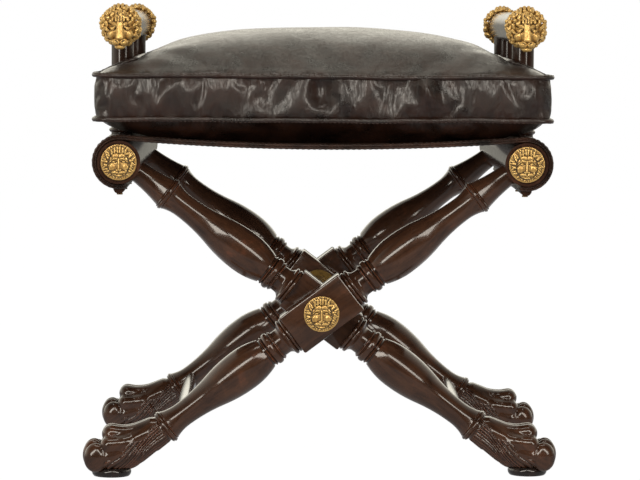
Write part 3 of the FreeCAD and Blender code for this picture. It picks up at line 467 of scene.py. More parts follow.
# Pads, stretchers and rails. Turned discs under the paws, plain round stretchers between the
# legs, and the round rails, posts and hand bars that carry the seat, all lacquered like the legs.
SEAT_STAIN = ("170c08", "402a1f", "5a3322")
CROSS_WOOD = mahogany("mahogany_cross_pieces", (math.pi / 2, 0.0, 0.0), *SEAT_STAIN)
UPRIGHT_WOOD = mahogany("mahogany_posts", (0.0, 0.0, 0.0), *SEAT_STAIN)
PAD_WOOD = mahogany("ebonised_pads", (0.0, 0.0, 0.0), "0d0a09", "1d1715", "3a241b")
for name in ("outer_foot_stretcher", "inner_foot_stretcher", "center_stretcher", "outer_rail", "inner_rail",
             "outer_handle", "inner_handle", "outer_sling_batten", "inner_sling_batten"):
    dress(name, f"{name}_lacquered", CROSS_WOOD)
for side, _, end, _ in CORNERS:
    dress(f"{side}_{end}_post", f"{side}_{end}_turned_post", UPRIGHT_WOOD)
    dress(f"{side}_{end}_foot_pad", f"{side}_{end}_turned_pad", PAD_WOOD)

# Lion heads. Cast and gilded brass finials that screw on to the ends of the hand bars, each a
# lion's head with a long nose, deep eyes and rows of mane locks, with painted shade in its hollows.
HAND_BAR_END, HAND_BAR_Z = 205.0, middle("outer_handle").z


def aged_gilding():
    """Gilding with a painted highlight on its edges, and painted shade in its hollows, where it is also dull,
    with a few dark specks of wax.
    """
    tree, given, gives = new_group("aged_gilding", ("Bright", "Deep", "Shade_and_wax"),
                                   ("Roughness", "Metallic", "Height"))
    patch = cloud(tree, given["Place"], 260.0, 4.0, 0.6, 0.5)
    grit = cloud(tree, given["Place"], 1900.0, 3.0, 0.6)
    # Painted highlight: edges are lightened towards the bright gold, on top of random patches of tone.
    painted_glint_and_tone = calc(tree, "MULTIPLY_ADD", given["Edge"], 0.55, spread(tree, patch, 0.32, 0.66, 0.05, 0.75))
    gold = mixed(tree, calc(tree, "MINIMUM", painted_glint_and_tone, 1.0), given["Deep"], given["Bright"])
    # Painted shade: hollows are darkened towards the wax colour, with a little speckle from the grit noise.
    sunk = spread(tree, calc(tree, "MULTIPLY_ADD", grit, 0.16, given["Hollow"]), 0.11, 0.42)
    put_out(tree, gives, Color=mixed(tree, calc(tree, "MULTIPLY", sunk, 0.9), gold, given["Shade_and_wax"]),
            Roughness=calc(tree, "MULTIPLY_ADD", sunk, 0.30, spread(tree, patch, 0.3, 0.7, 0.38, 0.25)),
            Metallic=spread(tree, sunk, 0.0, 1.0, 0.50, 0.1),
            Height=calc(tree, "MULTIPLY_ADD", grit, 0.4, patch))
    return tree


GILDING = aged_gilding()


def gilded(name, bright, deep, shade_and_wax, bump):
    return finish_from(GILDING, name, {"Bright": bright, "Deep": deep, "Shade_and_wax": shade_and_wax}, (bump, 0.0003))[0]


GILT = gilded("gilt_brass_castings", "dfb971", "a57839", "1c0e03", bump=0.25)
AGED_BRASS = gilded("aged_brass_fittings", "9a7a3c", "5f4820", "241a0b", bump=0.15)


def mane_curls():
    """Rings of curls from the brow back to the bar: three points along each curl, and its girth."""
    dice = np.random.default_rng(11)
    ahead = np.array((0.0, 1.0, 0.0))
    curls = []
    for row, (count, ring, depth, girth) in enumerate((
            (11, 12.0, 30.0, 2.5), (15, 16.2, 27.5, 2.8), (17, 20.0, 22.0, 3.1),
            (19, 22.2, 15.5, 3.2), (19, 22.6, 9.0, 3.2), (18, 21.6, 3.0, 3.1))):
        for i in range(count):
            angle = 2 * math.pi * (i + 0.5 * (row % 2) + dice.uniform(-0.15, 0.15)) / count
            around = np.array((-math.sin(angle), 0.0, math.cos(angle)))
            out = np.array((math.cos(angle), 0.0, math.sin(angle)))
            spin, size = dice.uniform(0, 2 * math.pi), girth * dice.uniform(0.9, 1.12)
            # the two front rows leave the face free
            if row < 2 and math.sin(angle) < (0.25, -0.35)[row]:
                continue
            seat = out * ring * dice.uniform(0.97, 1.03)
            seat[1] += depth + dice.uniform(-0.8, 0.8)
            lean = around * math.cos(spin) + ahead * math.sin(spin)
            side = around * math.sin(spin) - ahead * math.cos(spin)
            bends = [seat - lean * size * 0.75 + side * size * 0.3,
                     seat + out * size * 0.45 - side * size * 0.25,
                     seat + lean * size * 0.7 + side * size * 0.45]
            curls.append((bends, size * 0.78))
    return curls


MANE = mane_curls()


def lion_head(x, depth, z):
    """Head that looks along depth, on the end of a bar at depth nought."""
    half = (np.abs(x), depth, z)
    whole = (x, depth, z)
    form = ball(half, (0.0, 12.0, 0.0), (20.0, 17.0, 20.6))
    for bends, girth in MANE:
        root = rope(whole, bends[0], bends[1], girth * 0.8, girth)
        tip = rope(whole, bends[1], bends[2], girth, girth * 0.6)
        form = melt(form, np.minimum(root, tip), 0.8)
    # skull, cheeks, brow and eyes of the face
    form = worked(form, half, (
        (melt, ball, (0.0, 22.0, -4.0), (14.0, 10.5, 16.0), 1.2),
        (melt, ball, (10.8, 25.8, -9.8), (5.0, 5.4, 6.2), 2.0),
        (melt, rope, (4.8, 31.2, 1.6), (12.0, 27.4, 4.8), 2.1, 1.7, 2.2),
        (gouge, ball, (8.9, 33.0, -3.2), (4.3, 5.2, 2.9), 1.2),
        (melt, ball, (9.2, 29.4, -3.4), (2.7, 2.6, 2.0), 0.4),
        (melt, rope, (6.2, 31.6, -1.4), (12.0, 29.0, -2.4), 0.9, 0.8, 0.5)))
    # the long flat bridge of the nose, then muzzle, chin and the cuts of the mouth
    flat = (np.maximum(half[0] - 2.3, 0.0), depth, z)
    form = melt(form, rope(flat, (0.0, 31.8, 6.0), (0.0, 36.6, -14.4), 1.5, 2.2), 1.2)
    form = worked(form, half, (
        (melt, ball, (4.9, 32.8, -19.8), (5.3, 6.0, 4.3), 0.9),
        (melt, ball, (0.0, 29.6, -25.6), (6.6, 6.2, 3.1), 0.8),
        (gouge, rope, (5.3, 37.0, -17.2), (0.2, 38.6, -21.2), 0.9, 0.9, 0.6),
        (gouge, rope, (0.0, 38.2, -20.6), (0.0, 37.2, -23.4), 0.9, 0.8, 0.6),
        (gouge, rope, (0.0, 37.4, -23.6), (8.2, 33.8, -22.6), 0.9, 0.7, 0.6)))
    # forelocks that part over the brow, and the tuft on top
    for start, end in (((1.0, 27.5, 18.0), (1.4, 33.0, 6.8)), ((4.4, 27.0, 17.0), (4.8, 32.0, 6.6)),
                       ((8.2, 25.0, 14.5), (9.4, 29.8, 6.4)), ((2.6, 17.0, 25.2), (2.2, 23.0, 22.5)),
                       ((7.0, 16.0, 23.8), (7.4, 23.0, 20.6))):
        form = melt(form, rope(half, start, end, 2.5, 1.4), 0.7)
    return np.maximum(form, 0.4 - depth)


HEAD_SHAPE = carve(lion_head, (-29.0, -1.0, -30.0), (29.0, 42.0, 30.0), step=0.72)
for side, way, end, along in CORNERS:
    place = set_at(way * RAIL_X, along * HAND_BAR_END, HAND_BAR_Z, along)
    obj = carved(f"{side}_{end}_cast_lion_head", HEAD_SHAPE, GILT, place, reach=0.0020, passes=1)
    stand_for(obj, f"{side}_{end}_lion_head")

# Rosettes. Stamped and gilded lion masks, one pinned into each end of the rails and one over
# each end of the pivot, with a ring of curls round a face in low relief.
RAIL_SEAT, PIVOT_SEAT = 258.5, 234.5


def rosette(x, depth, z):
    """Lion mask in low relief, standing off its plate along depth."""
    half = (np.abs(x), depth, z)
    whole = (x, depth, z)
    form = np.maximum(np.sqrt(x * x + z * z) - 21.7, np.abs(depth - 0.4) - 0.7)
    dice = np.random.default_rng(4)
    for count, root, end, girth, high in ((26, 16.4, 20.4, 1.5, 1.1), (19, 13.8, 17.6, 1.6, 1.9)):
        for i in range(count):
            angle = 2 * math.pi * (i + dice.uniform(-0.25, 0.25)) / count
            near = root + dice.uniform(-0.6, 0.6)
            far = end + dice.uniform(-0.7, 0.3)
            size = girth * dice.uniform(0.85, 1.15)
            curl = angle + dice.uniform(-3.0, 3.0) / end
            root_end = (near * math.cos(angle), high, near * math.sin(angle))
            tip_end = (far * math.cos(curl), high - 0.6, far * math.sin(curl))
            form = melt(form, rope(whole, root_end, tip_end, size, size * 0.6), 0.2)
    form = worked(form, half, (
        (melt, ball, (0.0, 0.3, -2.6), (12.6, 2.6, 15.0), 0.4),
        # brow, with a furrow over the nose, then eyes and cheeks
        (melt, ball, (3.6, 1.7, 7.6), (4.6, 1.7, 3.4), 0.9),
        (gouge, rope, (0.0, 4.3, 10.6), (0.0, 4.3, 6.0), 0.8, 0.7, 0.4),
        (melt, rope, (2.4, 3.3, 4.4), (5.6, 3.2, 4.8), 1.1, 1.2, 0.5),
        (melt, rope, (5.6, 3.2, 4.8), (10.4, 2.0, 0.8), 1.2, 0.8, 0.5),
        (gouge, ball, (5.6, 4.2, 0.9), (4.4, 2.8, 2.3), 0.4),
        (melt, ball, (6.0, 2.0, 0.7), (2.3, 1.5, 1.3), 0.2),
        (melt, ball, (8.0, 1.7, -5.0), (4.0, 2.1, 4.6), 0.8),
        (gouge, rope, (10.0, 3.6, -1.0), (5.4, 4.0, -2.4), 0.7, 0.6, 0.3),
        # nose that widens to the nostrils, in a deep groove, then muzzle, mouth and chin
        (gouge, rope, (2.8, 3.9, 0.6), (3.2, 4.1, -6.6), 1.1, 1.0, 0.4),
        (gouge, rope, (3.2, 4.1, -6.6), (6.2, 3.7, -10.2), 1.0, 0.8, 0.4),
        (melt, rope, (0.0, 3.0, 4.0), (0.0, 3.6, -8.6), 1.2, 1.5, 0.3),
        (melt, ball, (1.9, 3.3, -9.4), (1.8, 1.4, 1.5), 0.4),
        (melt, ball, (4.2, 2.5, -12.2), (4.4, 1.9, 2.2), 0.4),
        (gouge, rope, (0.0, 4.5, -14.0), (7.6, 3.2, -13.6), 0.8, 0.7, 0.3),
        (melt, ball, (0.0, 2.2, -16.4), (5.0, 1.7, 1.9), 0.4)))
    # groove between the face and the mane, and the forelocks that fall over it
    ring = np.abs(np.hypot(x / 13.0, (z + 2.6) / 15.4) - 1.0) * 13.5 - 0.7
    form = gouge(form, np.maximum(ring, 1.3 - depth), 0.4)
    for start, end in (((1.6, 2.0, 18.0), (1.2, 3.0, 12.2)), ((5.0, 2.0, 17.0), (4.8, 2.9, 11.6)),
                       ((8.6, 1.9, 14.8), (8.0, 2.6, 9.8))):
        form = melt(form, rope(half, start, end, 1.6, 1.0), 0.2)
    return np.maximum(np.maximum(form, depth - 5.15), -0.3 - depth)


ROSETTE_SHAPE = carve(rosette, (-23.5, -1.2, -23.5), (23.5, 6.2, 23.5), step=0.44)
seats = [(f"{side}_{end}_rosette", way * RAIL_X, along * RAIL_SEAT, RAIL_Z)
         for side, way, end, along in CORNERS]
seats += [(f"{end}_pivot_rosette", 0.0, along * PIVOT_SEAT, PIVOT_Z) for end, along in ENDS]
for name, x, y, z in seats:
    mask = name.replace("rosette", "lion_mask")
    obj = carved(mask, ROSETTE_SHAPE, GILT, set_at(x, y, z, y), reach=0.0019, passes=1)
    stand_for(obj, name)

# Pivot fittings. The steel rod with its nuts and washers, the brass collars that space the
# centre stretcher, and the brass screws through the battens keep their turned forms.
STEEL = gilded("bright_steel", "b9bbbd", "85888b", "2c2a28", bump=0.10)
for name, metal in (("pivot_rod", STEEL), ("pivot_nuts", STEEL), ("pivot_washers", STEEL),
                    ("center_collars", AGED_BRASS), ("outer_batten_screws", AGED_BRASS),
                    ("inner_batten_screws", AGED_BRASS)):
    nodes[name].material_slots[0].material = metal

# Sling. A double sheet of thick black hide, folded and stitched along its edges, that goes over
# both rails and is clamped under them by the battens; the four posts come up through it.
SLING_IN, SLING_HALF_THICK, SLING_SAG = 26.8, 3.0, 10.0
SLING_HALF_LENGTH, SLING_STITCH_Y = 255.0, 247.5
SLING_TUCK = math.radians(14.0)
POST_Y, POST_HOLE = 172.0, 14.6
SEAT_LEVEL = RAIL_Z + 30.0


def leather_grain():
    """Hide with fine pebbling, soft creases, uneven dye, painted shade in its hollows and a polish that is
    worn in streaks.
    """
    tree, given, gives = new_group("leather_grain", ("Dye", "Faded"), ("Roughness", "Polish", "Height"),
                                   values=("Pebble",))
    cell = put(tree, "ShaderNodeTexVoronoi", {"Vector": given["Place"], "Scale": given["Pebble"]},
               feature="DISTANCE_TO_EDGE").outputs["Distance"]
    pebble = spread(tree, cell, 0.0, 0.16)
    mottle = cloud(tree, given["Place"], 28.0, 5.0, 0.62, 0.4)
    crease = cloud(tree, drawn_out(tree, given["Place"], 0.45), 95.0, 6.0, 0.66, 0.9)
    vein = spread(tree, calc(tree, "ABSOLUTE", calc(tree, "SUBTRACT", crease, 0.5)), 0.0, 0.035, 1.0, 0.0)
    tone = mixed(tree, spread(tree, mottle, 0.36, 0.70), given["Dye"], given["Faded"])
    rubbed = calc(tree, "MULTIPLY", given["Edge"], spread(tree, mottle, 0.35, 0.6, 0.3, 1.0))
    tone = mixed(tree, calc(tree, "MULTIPLY", rubbed, 0.8), tone, given["Faded"])
    # Painted shade: hollows, such as the crease under each welt, are darkened towards near black.
    painted_crease_shade = spread(tree, given["Hollow"], 0.15, 0.7, 0.0, 0.85)
    sunk = calc(tree, "MAXIMUM", calc(tree, "MULTIPLY", vein, 0.35), painted_crease_shade)
    streak = cloud(tree, drawn_out(tree, given["Place"], 0.22), 520.0, 3.0, 0.6, 0.8)
    wear = calc(tree, "MULTIPLY_ADD", streak, 0.65, calc(tree, "MULTIPLY", crease, 0.35))
    height = calc(tree, "MULTIPLY_ADD", pebble, 0.30, calc(tree, "MULTIPLY", crease, 0.9))
    put_out(tree, gives, Color=mixed(tree, sunk, tone, (0.004, 0.003, 0.003, 1.0)),
            Roughness=calc(tree, "MULTIPLY_ADD", vein, 0.10, spread(tree, mottle, 0.3, 0.7, 0.25, 0.36)),
            Polish=spread(tree, wear, 0.42, 0.60, 0.12, 1.0),
            Height=calc(tree, "MULTIPLY_ADD", vein, -0.35, height))
    return tree


LEATHER = leather_grain()


def leather(name, dye, faded, pebble, bump, polished):
    """Dyed hide, with a coat of polish where it is asked for."""
    material, shader, hide = finish_from(LEATHER, name, {"Dye": dye, "Faded": faded}, (bump, 0.0009))
    hide.inputs["Pebble"].default_value = pebble
    all_over(shader, {"Specular IOR Level": 0.36})
    if polished:
        material.node_tree.links.new(hide.outputs["Polish"], shader.inputs["Coat Weight"])
        all_over(shader, {"Coat Roughness": 0.26})
    return material


SLING_HIDE = leather("sling_hide", "17100d", "432c22", pebble=900.0, bump=0.35, polished=False)
COVER_HIDE = leather("cushion_hide", "150a05", "2e180e", pebble=1100.0, bump=0.42, polished=True)
THREAD, tree, shader = finish_of("waxed_thread")
twist = cloud(tree, object_place(tree), 2500.0, 2.0)
tree.links.new(mixed(tree, twist, tint("1a1210"), tint("4a372e")), shader.inputs["Base Color"])
all_over(shader, {"Roughness": 0.6})

SAG_RADIUS = (RAIL_X ** 2 - 2 * SLING_IN * SLING_SAG + SLING_SAG ** 2) / (2 * SLING_SAG)
SAG_TOP = SLING_IN - SLING_SAG + SAG_RADIUS
LEAVING = math.atan2(SAG_TOP, -RAIL_X)


def sling_line(lift):
    """Points along the sling from one tuck to the other, lifted off its middle."""
    wrap = [LEAVING + (-math.pi / 2 - SLING_TUCK - LEAVING) * (1 - k / 44) for k in range(45)]
    r = SLING_IN + SLING_HALF_THICK
    right = [(RAIL_X + r * math.cos(a), r * math.sin(a), math.cos(a), math.sin(a)) for a in wrap]
    sag = [math.atan2(RAIL_X, SAG_TOP) * (1 - 2 * k / 64) for k in range(1, 64)]
    r = SAG_RADIUS - SLING_HALF_THICK
    bag = [(r * math.sin(a), SAG_TOP - r * math.cos(a), -math.sin(a), math.cos(a)) for a in sag]
    left = [(-x, z, -nx, nz) for x, z, nx, nz in reversed(right)]
    return [(x + lift * nx, RAIL_Z + z + lift * nz) for x, z, nx, nz in right + bag + left]


def band_faces(rows, count, closed=False):
    """Quads between neighbouring rings of points; a closed band also joins its last ring to its first."""
    faces = []
    for row in range(rows if closed else rows - 1):
        near, far = row * count, (row + 1) % rows * count
        for k in range(count):
            ahead = (k + 1) % count
            faces.append((near + k, near + ahead, far + ahead, far + k))
    return faces


def sling_mesh():
    """Sweep the sheet's section, with its two folded lips at each edge, along the sling."""
    half, lip = SLING_HALF_THICK, 1.45
    edge = [(1.0, half), (2.1, half - 0.5), (2.6, half - lip), (2.1, 0.55), (1.0, 0.12)]
    edge += [(out, -lift) for out, lift in reversed(edge)]
    across = [-1.0 + 2.0 * k / 40 for k in range(41)]
    flat = SLING_HALF_LENGTH - 2.6
    section = [(flat * share, half) for share in across]
    section += [(flat + out, lift) for out, lift in edge]
    section += [(flat * share, -half) for share in reversed(across)]
    section += [(-flat - out, lift) for out, lift in reversed(edge)]
    columns = {lift: sling_line(lift) for lift in {lift for _, lift in section}}
    rows, count = len(columns[half]), len(section)
    points = [(columns[lift][row][0] * MM, y * MM, columns[lift][row][1] * MM)
              for row in range(rows) for y, lift in section]
    ends = [tuple(reversed(range(count))), tuple(range((rows - 1) * count, rows * count))]
    return mesh_of("sling_sheet", points, band_faces(rows, count) + ends)


def outward(mesh):
    """Merge doubled points and turn all faces outwards."""
    with bench(mesh) as work:
        bmesh.ops.remove_doubles(work, verts=work.verts, dist=0.000005)
        bmesh.ops.recalc_face_normals(work, faces=work.faces)


def settled(obj):
    """Apply an object's modifiers to its mesh."""
    made = bpy.data.meshes.new_from_object(obj.evaluated_get(bpy.context.evaluated_depsgraph_get()))
    obj.modifiers.clear()
    obj.data = made
    return made


sling = show("sling_sheet", sling_mesh(), SLING_HIDE)
outward(sling.data)
punch = bmesh.new()
for way in (-1, 1):
    for along in (-1, 1):
        spot = Matrix.Translation((way * RAIL_X * MM, along * POST_Y * MM, SEAT_LEVEL * MM))
        bmesh.ops.create_cone(punch, matrix=spot, depth=0.05, segments=48, cap_ends=True,
                              radius1=POST_HOLE * MM, radius2=POST_HOLE * MM)
punch_mesh = bpy.data.meshes.new("post_holes")
punch.to_mesh(punch_mesh)
punch.free()
punches = show("post_holes", punch_mesh, SLING_HIDE)
cut = sling.modifiers.new("post_holes", "BOOLEAN")
cut.object = punches
cut.solver = "EXACT"
settled(sling)
bpy.data.objects.remove(punches)
sling.data.shade_smooth()
sling.data.set_sharp_from_angle(angle=math.radians(50))
mark_relief(sling.data, reach=0.0010, passes=1)


def stitch_tree():
    """Stitches at an even pitch along the edges of the mesh it is given."""
    tree = bpy.data.node_groups.new("row_of_stitches", "GeometryNodeTree")
    for label, kind in (("Geometry", "Geometry"), ("Pitch", "Float"), ("Length", "Float"),
                        ("Thickness", "Float"), ("Thread", "Material")):
        tree.interface.new_socket(label, in_out="INPUT", socket_type=f"NodeSocket{kind}")
    tree.interface.new_socket("Geometry", in_out="OUTPUT", socket_type="NodeSocketGeometry")
    given = tree.nodes.new("NodeGroupInput").outputs
    line = put(tree, "GeometryNodeMeshToCurve", {0: given["Geometry"]}).outputs[0]
    pitched = {"Curve": line, "Length": given["Pitch"]}
    spots = put(tree, "GeometryNodeCurveToPoints", pitched, mode="LENGTH").outputs
    thread = put(tree, "GeometryNodeMeshUVSphere", {"Segments": 8, "Rings": 5, "Radius": 0.5}).outputs[0]
    thick = given["Thickness"]
    size = put(tree, "ShaderNodeCombineXYZ", {0: thick, 1: thick, 2: given["Length"]}).outputs[0]
    facing = put(tree, "FunctionNodeAlignRotationToVector", {"Vector": spots["Tangent"]}, axis="Z").outputs[0]
    laid = put(tree, "GeometryNodeInstanceOnPoints", {
        "Points": spots["Points"], "Instance": thread, "Rotation": facing, "Scale": size})
    real = put(tree, "GeometryNodeRealizeInstances", {0: laid.outputs[0]})
    named = put(tree, "GeometryNodeSetMaterial", {0: real.outputs[0], "Material": given["Thread"]})
    smooth = put(tree, "GeometryNodeSetShadeSmooth", {0: named.outputs[0]})
    tree.links.new(smooth.outputs[0], tree.nodes.new("NodeGroupOutput").inputs[0])
    return tree


STITCHES = stitch_tree()


def sewn(name, lines, pitch, length, thickness):
    """Stitches along open or closed lines of points, as one plain mesh."""
    points, edges = [], []
    for line, closed in lines:
        first = len(points)
        points += line
        edges += [(first + k, first + k + 1) for k in range(len(line) - 1)]
        if closed:
            edges.append((len(points) - 1, first))
    obj = bpy.data.objects.new(name, mesh_of(name, points, [], edges))
    bpy.context.scene.collection.objects.link(obj)
    modifier = obj.modifiers.new("stitches", "NODES")
    modifier.node_group = STITCHES
    values = {"Pitch": pitch, "Length": length, "Thickness": thickness, "Thread": THREAD}
    for item in STITCHES.interface.items_tree:
        if item.in_out == "INPUT" and item.name in values:
            modifier[item.identifier] = values[item.name]
    settled(obj)
    return obj


lines = []
for along in (-1, 1):
    for lift in (SLING_HALF_THICK + 0.1, -SLING_HALF_THICK - 0.1):
        line = sling_line(lift)[8:-8] if lift > 0 else sling_line(lift)[48:-48]
        lines.append(([(x * MM, along * SLING_STITCH_Y * MM, z * MM) for x, z in line], False))
sling_thread = sewn("sling_stitches", lines, pitch=0.0068, length=0.0046, thickness=0.0011)
for obj in (sling, sling_thread):
    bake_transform(obj)
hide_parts("sling")

# Cushion. A loose box cushion in dark chocolate leather, stuffed hard so that its top crowns, with
# a tab at each corner that reaches past the post. The cover is sewn from a top, a boxing strip and
# a base, and the strip is a little full, so it wrinkles below the welt.
BOTTOM_SEAM, TOP_SEAM = middle("cushion_bottom_piping").z, middle("cushion_top_piping").z
WIDE, WAIST, DEEP, TAB = RAIL_X + 27.5, RAIL_X - 20.6, 256.0, 197.0
CORNER, NOTCH, DRAWN_IN = 12.0, 9.0, 4.0
CROWN_RISE, BELLY_DROP = 50.0, 28.5
BOXING_ROWS, BOXING_RUN = 18, 2300.0
filling_dice = np.random.default_rng(5)


def cushion_outline(grow, spacing):
    """Plan of the boxing, moved outwards by grow, as evenly spaced points from the front right corner."""
    w, n, d, t = WIDE + grow, WAIST + grow, DEEP + grow, TAB - grow
    quarter = [(w, -d, CORNER + grow), (w, -t, CORNER + grow), (n, -t, max(NOTCH - grow, 1.0))]
    corners = quarter + [(x, -y, r) for x, y, r in reversed(quarter)]
    corners += [(-x, -y, r) for x, y, r in corners]
    line = []
    for k, (x, y, r) in enumerate(corners):
        before, after = corners[k - 1], corners[(k + 1) % len(corners)]
        into = np.sign((x - before[0], y - before[1]))
        away = np.sign((after[0] - x, after[1] - y))
        centre = np.array((x, y)) - r * into + r * away
        for turn in np.linspace(0.0, math.pi / 2, 9):
            line.append(centre + r * into * math.sin(turn) - r * away * math.cos(turn))
    line = np.array(line + line[:1])
    run = np.concatenate([[0.0], np.cumsum(np.linalg.norm(np.diff(line, axis=0), axis=1))])
    even = np.linspace(0.0, run[-1], int(run[-1] / spacing), endpoint=False)
    plan = np.stack([np.interp(even, run, line[:, axis]) for axis in (0, 1)], 1)
    front = np.abs(plan[:, 1]) > t + CORNER
    plan[:, 1] -= np.where(front, np.sign(plan[:, 1]) * DRAWN_IN * (1 - (plan[:, 0] / w) ** 2), 0.0)
    side = np.abs(plan[:, 1]) < t - NOTCH
    plan[:, 0] -= np.where(side, np.sign(plan[:, 0]) * DRAWN_IN * (1 - (plan[:, 1] / t) ** 2), 0.0)
    return plan, even / run[-1]


def outward_of(plan):
    """Direction out of a closed plan at each of its points."""
    ahead = np.roll(plan, -1, axis=0) - np.roll(plan, 1, axis=0)
    return np.stack([ahead[:, 1], -ahead[:, 0]], 1) / np.linalg.norm(ahead, axis=1)[:, None]


def seam_wave(share, which):
    """How a seam wanders up and down along its run, in millimetres."""
    turns = ((3, 0.5, 0.3), (7, 0.45, 1.9), (13, 0.35, 4.1), (29, 0.22, 0.7))
    return sum(size * np.sin(2 * math.pi * many * share + start + which) for many, size, start in turns)


def boxing_wrinkles(run, height):
    """Pleats that hang slantwise from the top welt and die out towards the bottom one."""
    total = np.zeros((len(height), len(run)))
    broad = (70, (9.0, 16.0), 4.6, 0.25, 15.0)
    fine = (150, (3.0, 6.0), 0.6, 0.80, 8.0)
    for many, widths, size, lowest, lean in (broad, fine):
        for _ in range(many):
            spot = filling_dice.uniform(0, BOXING_RUN)
            at_left_front = 0.74 * BOXING_RUN < spot < 0.88 * BOXING_RUN
            slant = filling_dice.normal(0.0, lean) - 0.8 * lean * at_left_front
            width, swell = filling_dice.uniform(*widths), filling_dice.normal(0.0, size)
            low = filling_dice.uniform(0.0, lowest)
            off = (run - spot - slant * (1 - height) + BOXING_RUN / 2) % BOXING_RUN - BOXING_RUN / 2
            pleat = np.exp(-(np.abs(off) / width) ** 1.8) * ease(height, low, low + 0.40)
            total += swell * pleat * (1 - 0.6 * ease(height, 0.74, 1.0))
    return total


def seam_distance(points, plan):
    """Distance inside the seam of each point, negative outside it, and the nearest place along it."""
    nearest = np.empty(len(points))
    index = np.empty(len(points), dtype=int)
    for first in range(0, len(points), 2000):
        gap = ((points[first:first + 2000, None, :] - plan[None]) ** 2).sum(2)
        index[first:first + 2000] = gap.argmin(1)
        nearest[first:first + 2000] = np.sqrt(gap.min(1))
    ahead = np.roll(plan, -1, axis=0) - plan
    off = points - plan[index]
    inside = ahead[index, 0] * off[:, 1] - ahead[index, 1] * off[:, 0] > 0
    return np.where(inside, nearest, -nearest), index


def panel_points(plan):
    """Points over a panel: two rows beside its seam and an even lattice inside."""
    inner = [cushion_outline(-inset, step)[0] for inset, step in ((2.5, 4.0), (6.0, 5.0))]
    step = 10.0
    rows = [[(x + (j % 2) * step / 2, y) for x in np.arange(-WIDE, WIDE, step)]
            for j, y in enumerate(np.arange(-DEEP, DEEP, step * 0.87))]
    lattice = np.array([point for row in rows for point in row])
    return np.concatenate(inner + [lattice[seam_distance(lattice, plan)[0] > 9.0]])


def crown_rise(points):
    """Rise of the stuffed top above the seam level; it is cut off by the notches, not drawn down to them."""
    out = np.clip(np.abs(points / (WIDE, DEEP)), 0.0, 0.995)
    left = 1.0 - out ** 2.8
    return CROWN_RISE * (left[:, 0] ** -4.0 + left[:, 1] ** -4.0 - 1.0) ** -0.25


def crown(points, gap, share):
    """Height of the top panel above the seam level, with puckers along the seam and soft dents."""
    x, y = points[:, 0], points[:, 1]
    near_seam = np.exp(-gap / 12.0)
    inside = 1.0 - near_seam
    waves = ((61, 0.4), (97, 2.0), (143, 3.1))
    pucker = sum(np.sin(2 * math.pi * many * share + start) for many, start in waves)
    dent = 0.7 * np.sin(x / 37.0 + 1.1 * np.sin(y / 45.0)) * np.sin(y / 52.0 + 0.7)
    dent = dent + 0.3 * np.sin(x / 19.0 - y / 31.0)
    ripple = np.sin(2 * math.pi * 41 * share + 2.0 * np.sin(9 * share))
    rolls = 2.6 * np.exp(-((gap - 16.0) / 10.0) ** 2) * ripple
    from_post = ((np.abs(x) - WAIST - 9.0) / 15.0) ** 2 + ((np.abs(y) - TAB - 16.0) / 17.0) ** 2
    rise = crown_rise(points) * (1.0 - 0.20 * np.exp(-from_post)) + 2.5 * inside
    return rise + 0.25 * pucker * near_seam * inside + (dent + 0.15 * rolls) * ease(gap, 4.0, 40.0)


def belly(points, gap):
    """Height of the base, which drops below its seam to rest on the sling."""
    x, y = points[:, 0], points[:, 1]
    lip = np.sqrt(np.clip(1 - (1 - np.clip(gap / 16, 0, 1)) ** 2, 0, 1))
    swell = (1 - np.abs(x / WIDE) ** 9) * (1 - np.abs(y / DEEP) ** 9) * lip
    lying = RAIL_Z + SAG_TOP - np.sqrt((SAG_RADIUS - 2 * SLING_HALF_THICK) ** 2 - x ** 2) + 0.7
    over_rail = RAIL_Z + SLING_IN + 2 * SLING_HALF_THICK + 0.8
    return np.maximum(BOTTOM_SEAM - BELLY_DROP * swell, np.minimum(lying, over_rail))


def cover_mesh():
    """Cover as it is sewn, before the stuffing presses it out, and the numbers of its seam points."""
    plan, share = cushion_outline(grow=0.0, spacing=3.2)
    count = len(plan)
    heights = np.linspace(0.0, 1.0, BOXING_ROWS)[:, None]
    bulge = 1.8 * np.sin(math.pi * heights) ** 0.8 + boxing_wrinkles(share * BOXING_RUN, heights)
    at_end = np.abs(plan[:, 0]) > WIDE - 16.0
    bulge = bulge * np.where(np.abs(plan[:, 1]) < TAB + 2.0, 0.25, np.where(at_end, 0.45, 1.0))
    upper = TOP_SEAM + seam_wave(share, 0.0) + crown_rise(plan)
    level = (BOTTOM_SEAM + seam_wave(share, 1.0)) * (1 - heights) + upper * heights
    pushed = plan[None] + outward_of(plan)[None] * bulge[..., None]
    strip = np.concatenate([pushed, level[..., None]], 2).reshape(-1, 3)
    inside = panel_points(plan)
    gap, nearest = seam_distance(inside, plan)
    along = share[nearest]
    crowned = TOP_SEAM + crown(inside, gap, along) + seam_wave(along, 0.0) * np.exp(-gap / 9)
    top = np.column_stack([inside, crowned])
    base = np.column_stack([inside, belly(inside, gap)])
    flat = [Vector(point) for point in np.concatenate([plan, inside]).tolist()]
    edges = [(k, (k + 1) % count) for k in range(count)]
    _, _, sewn_faces, came_from, _, _ = delaunay_2d_cdt(flat, edges, [], 1, 1e-4)
    faces = band_faces(BOXING_ROWS, count)
    top_row, rest = (BOXING_ROWS - 1) * count, len(strip)
    for face in sewn_faces:
        corners = [came_from[v][0] for v in face]
        faces.append([top_row + v if v < count else rest + v - count for v in corners])
        faces.append([v if v < count else rest + len(inside) + v - count for v in reversed(corners)])
    points = np.concatenate([strip, top, base]) * MM
    mesh = mesh_of("cushion_leather_cover", points.tolist(), faces)
    outward(mesh)
    return mesh, [*range(count), *range(top_row, rest)]


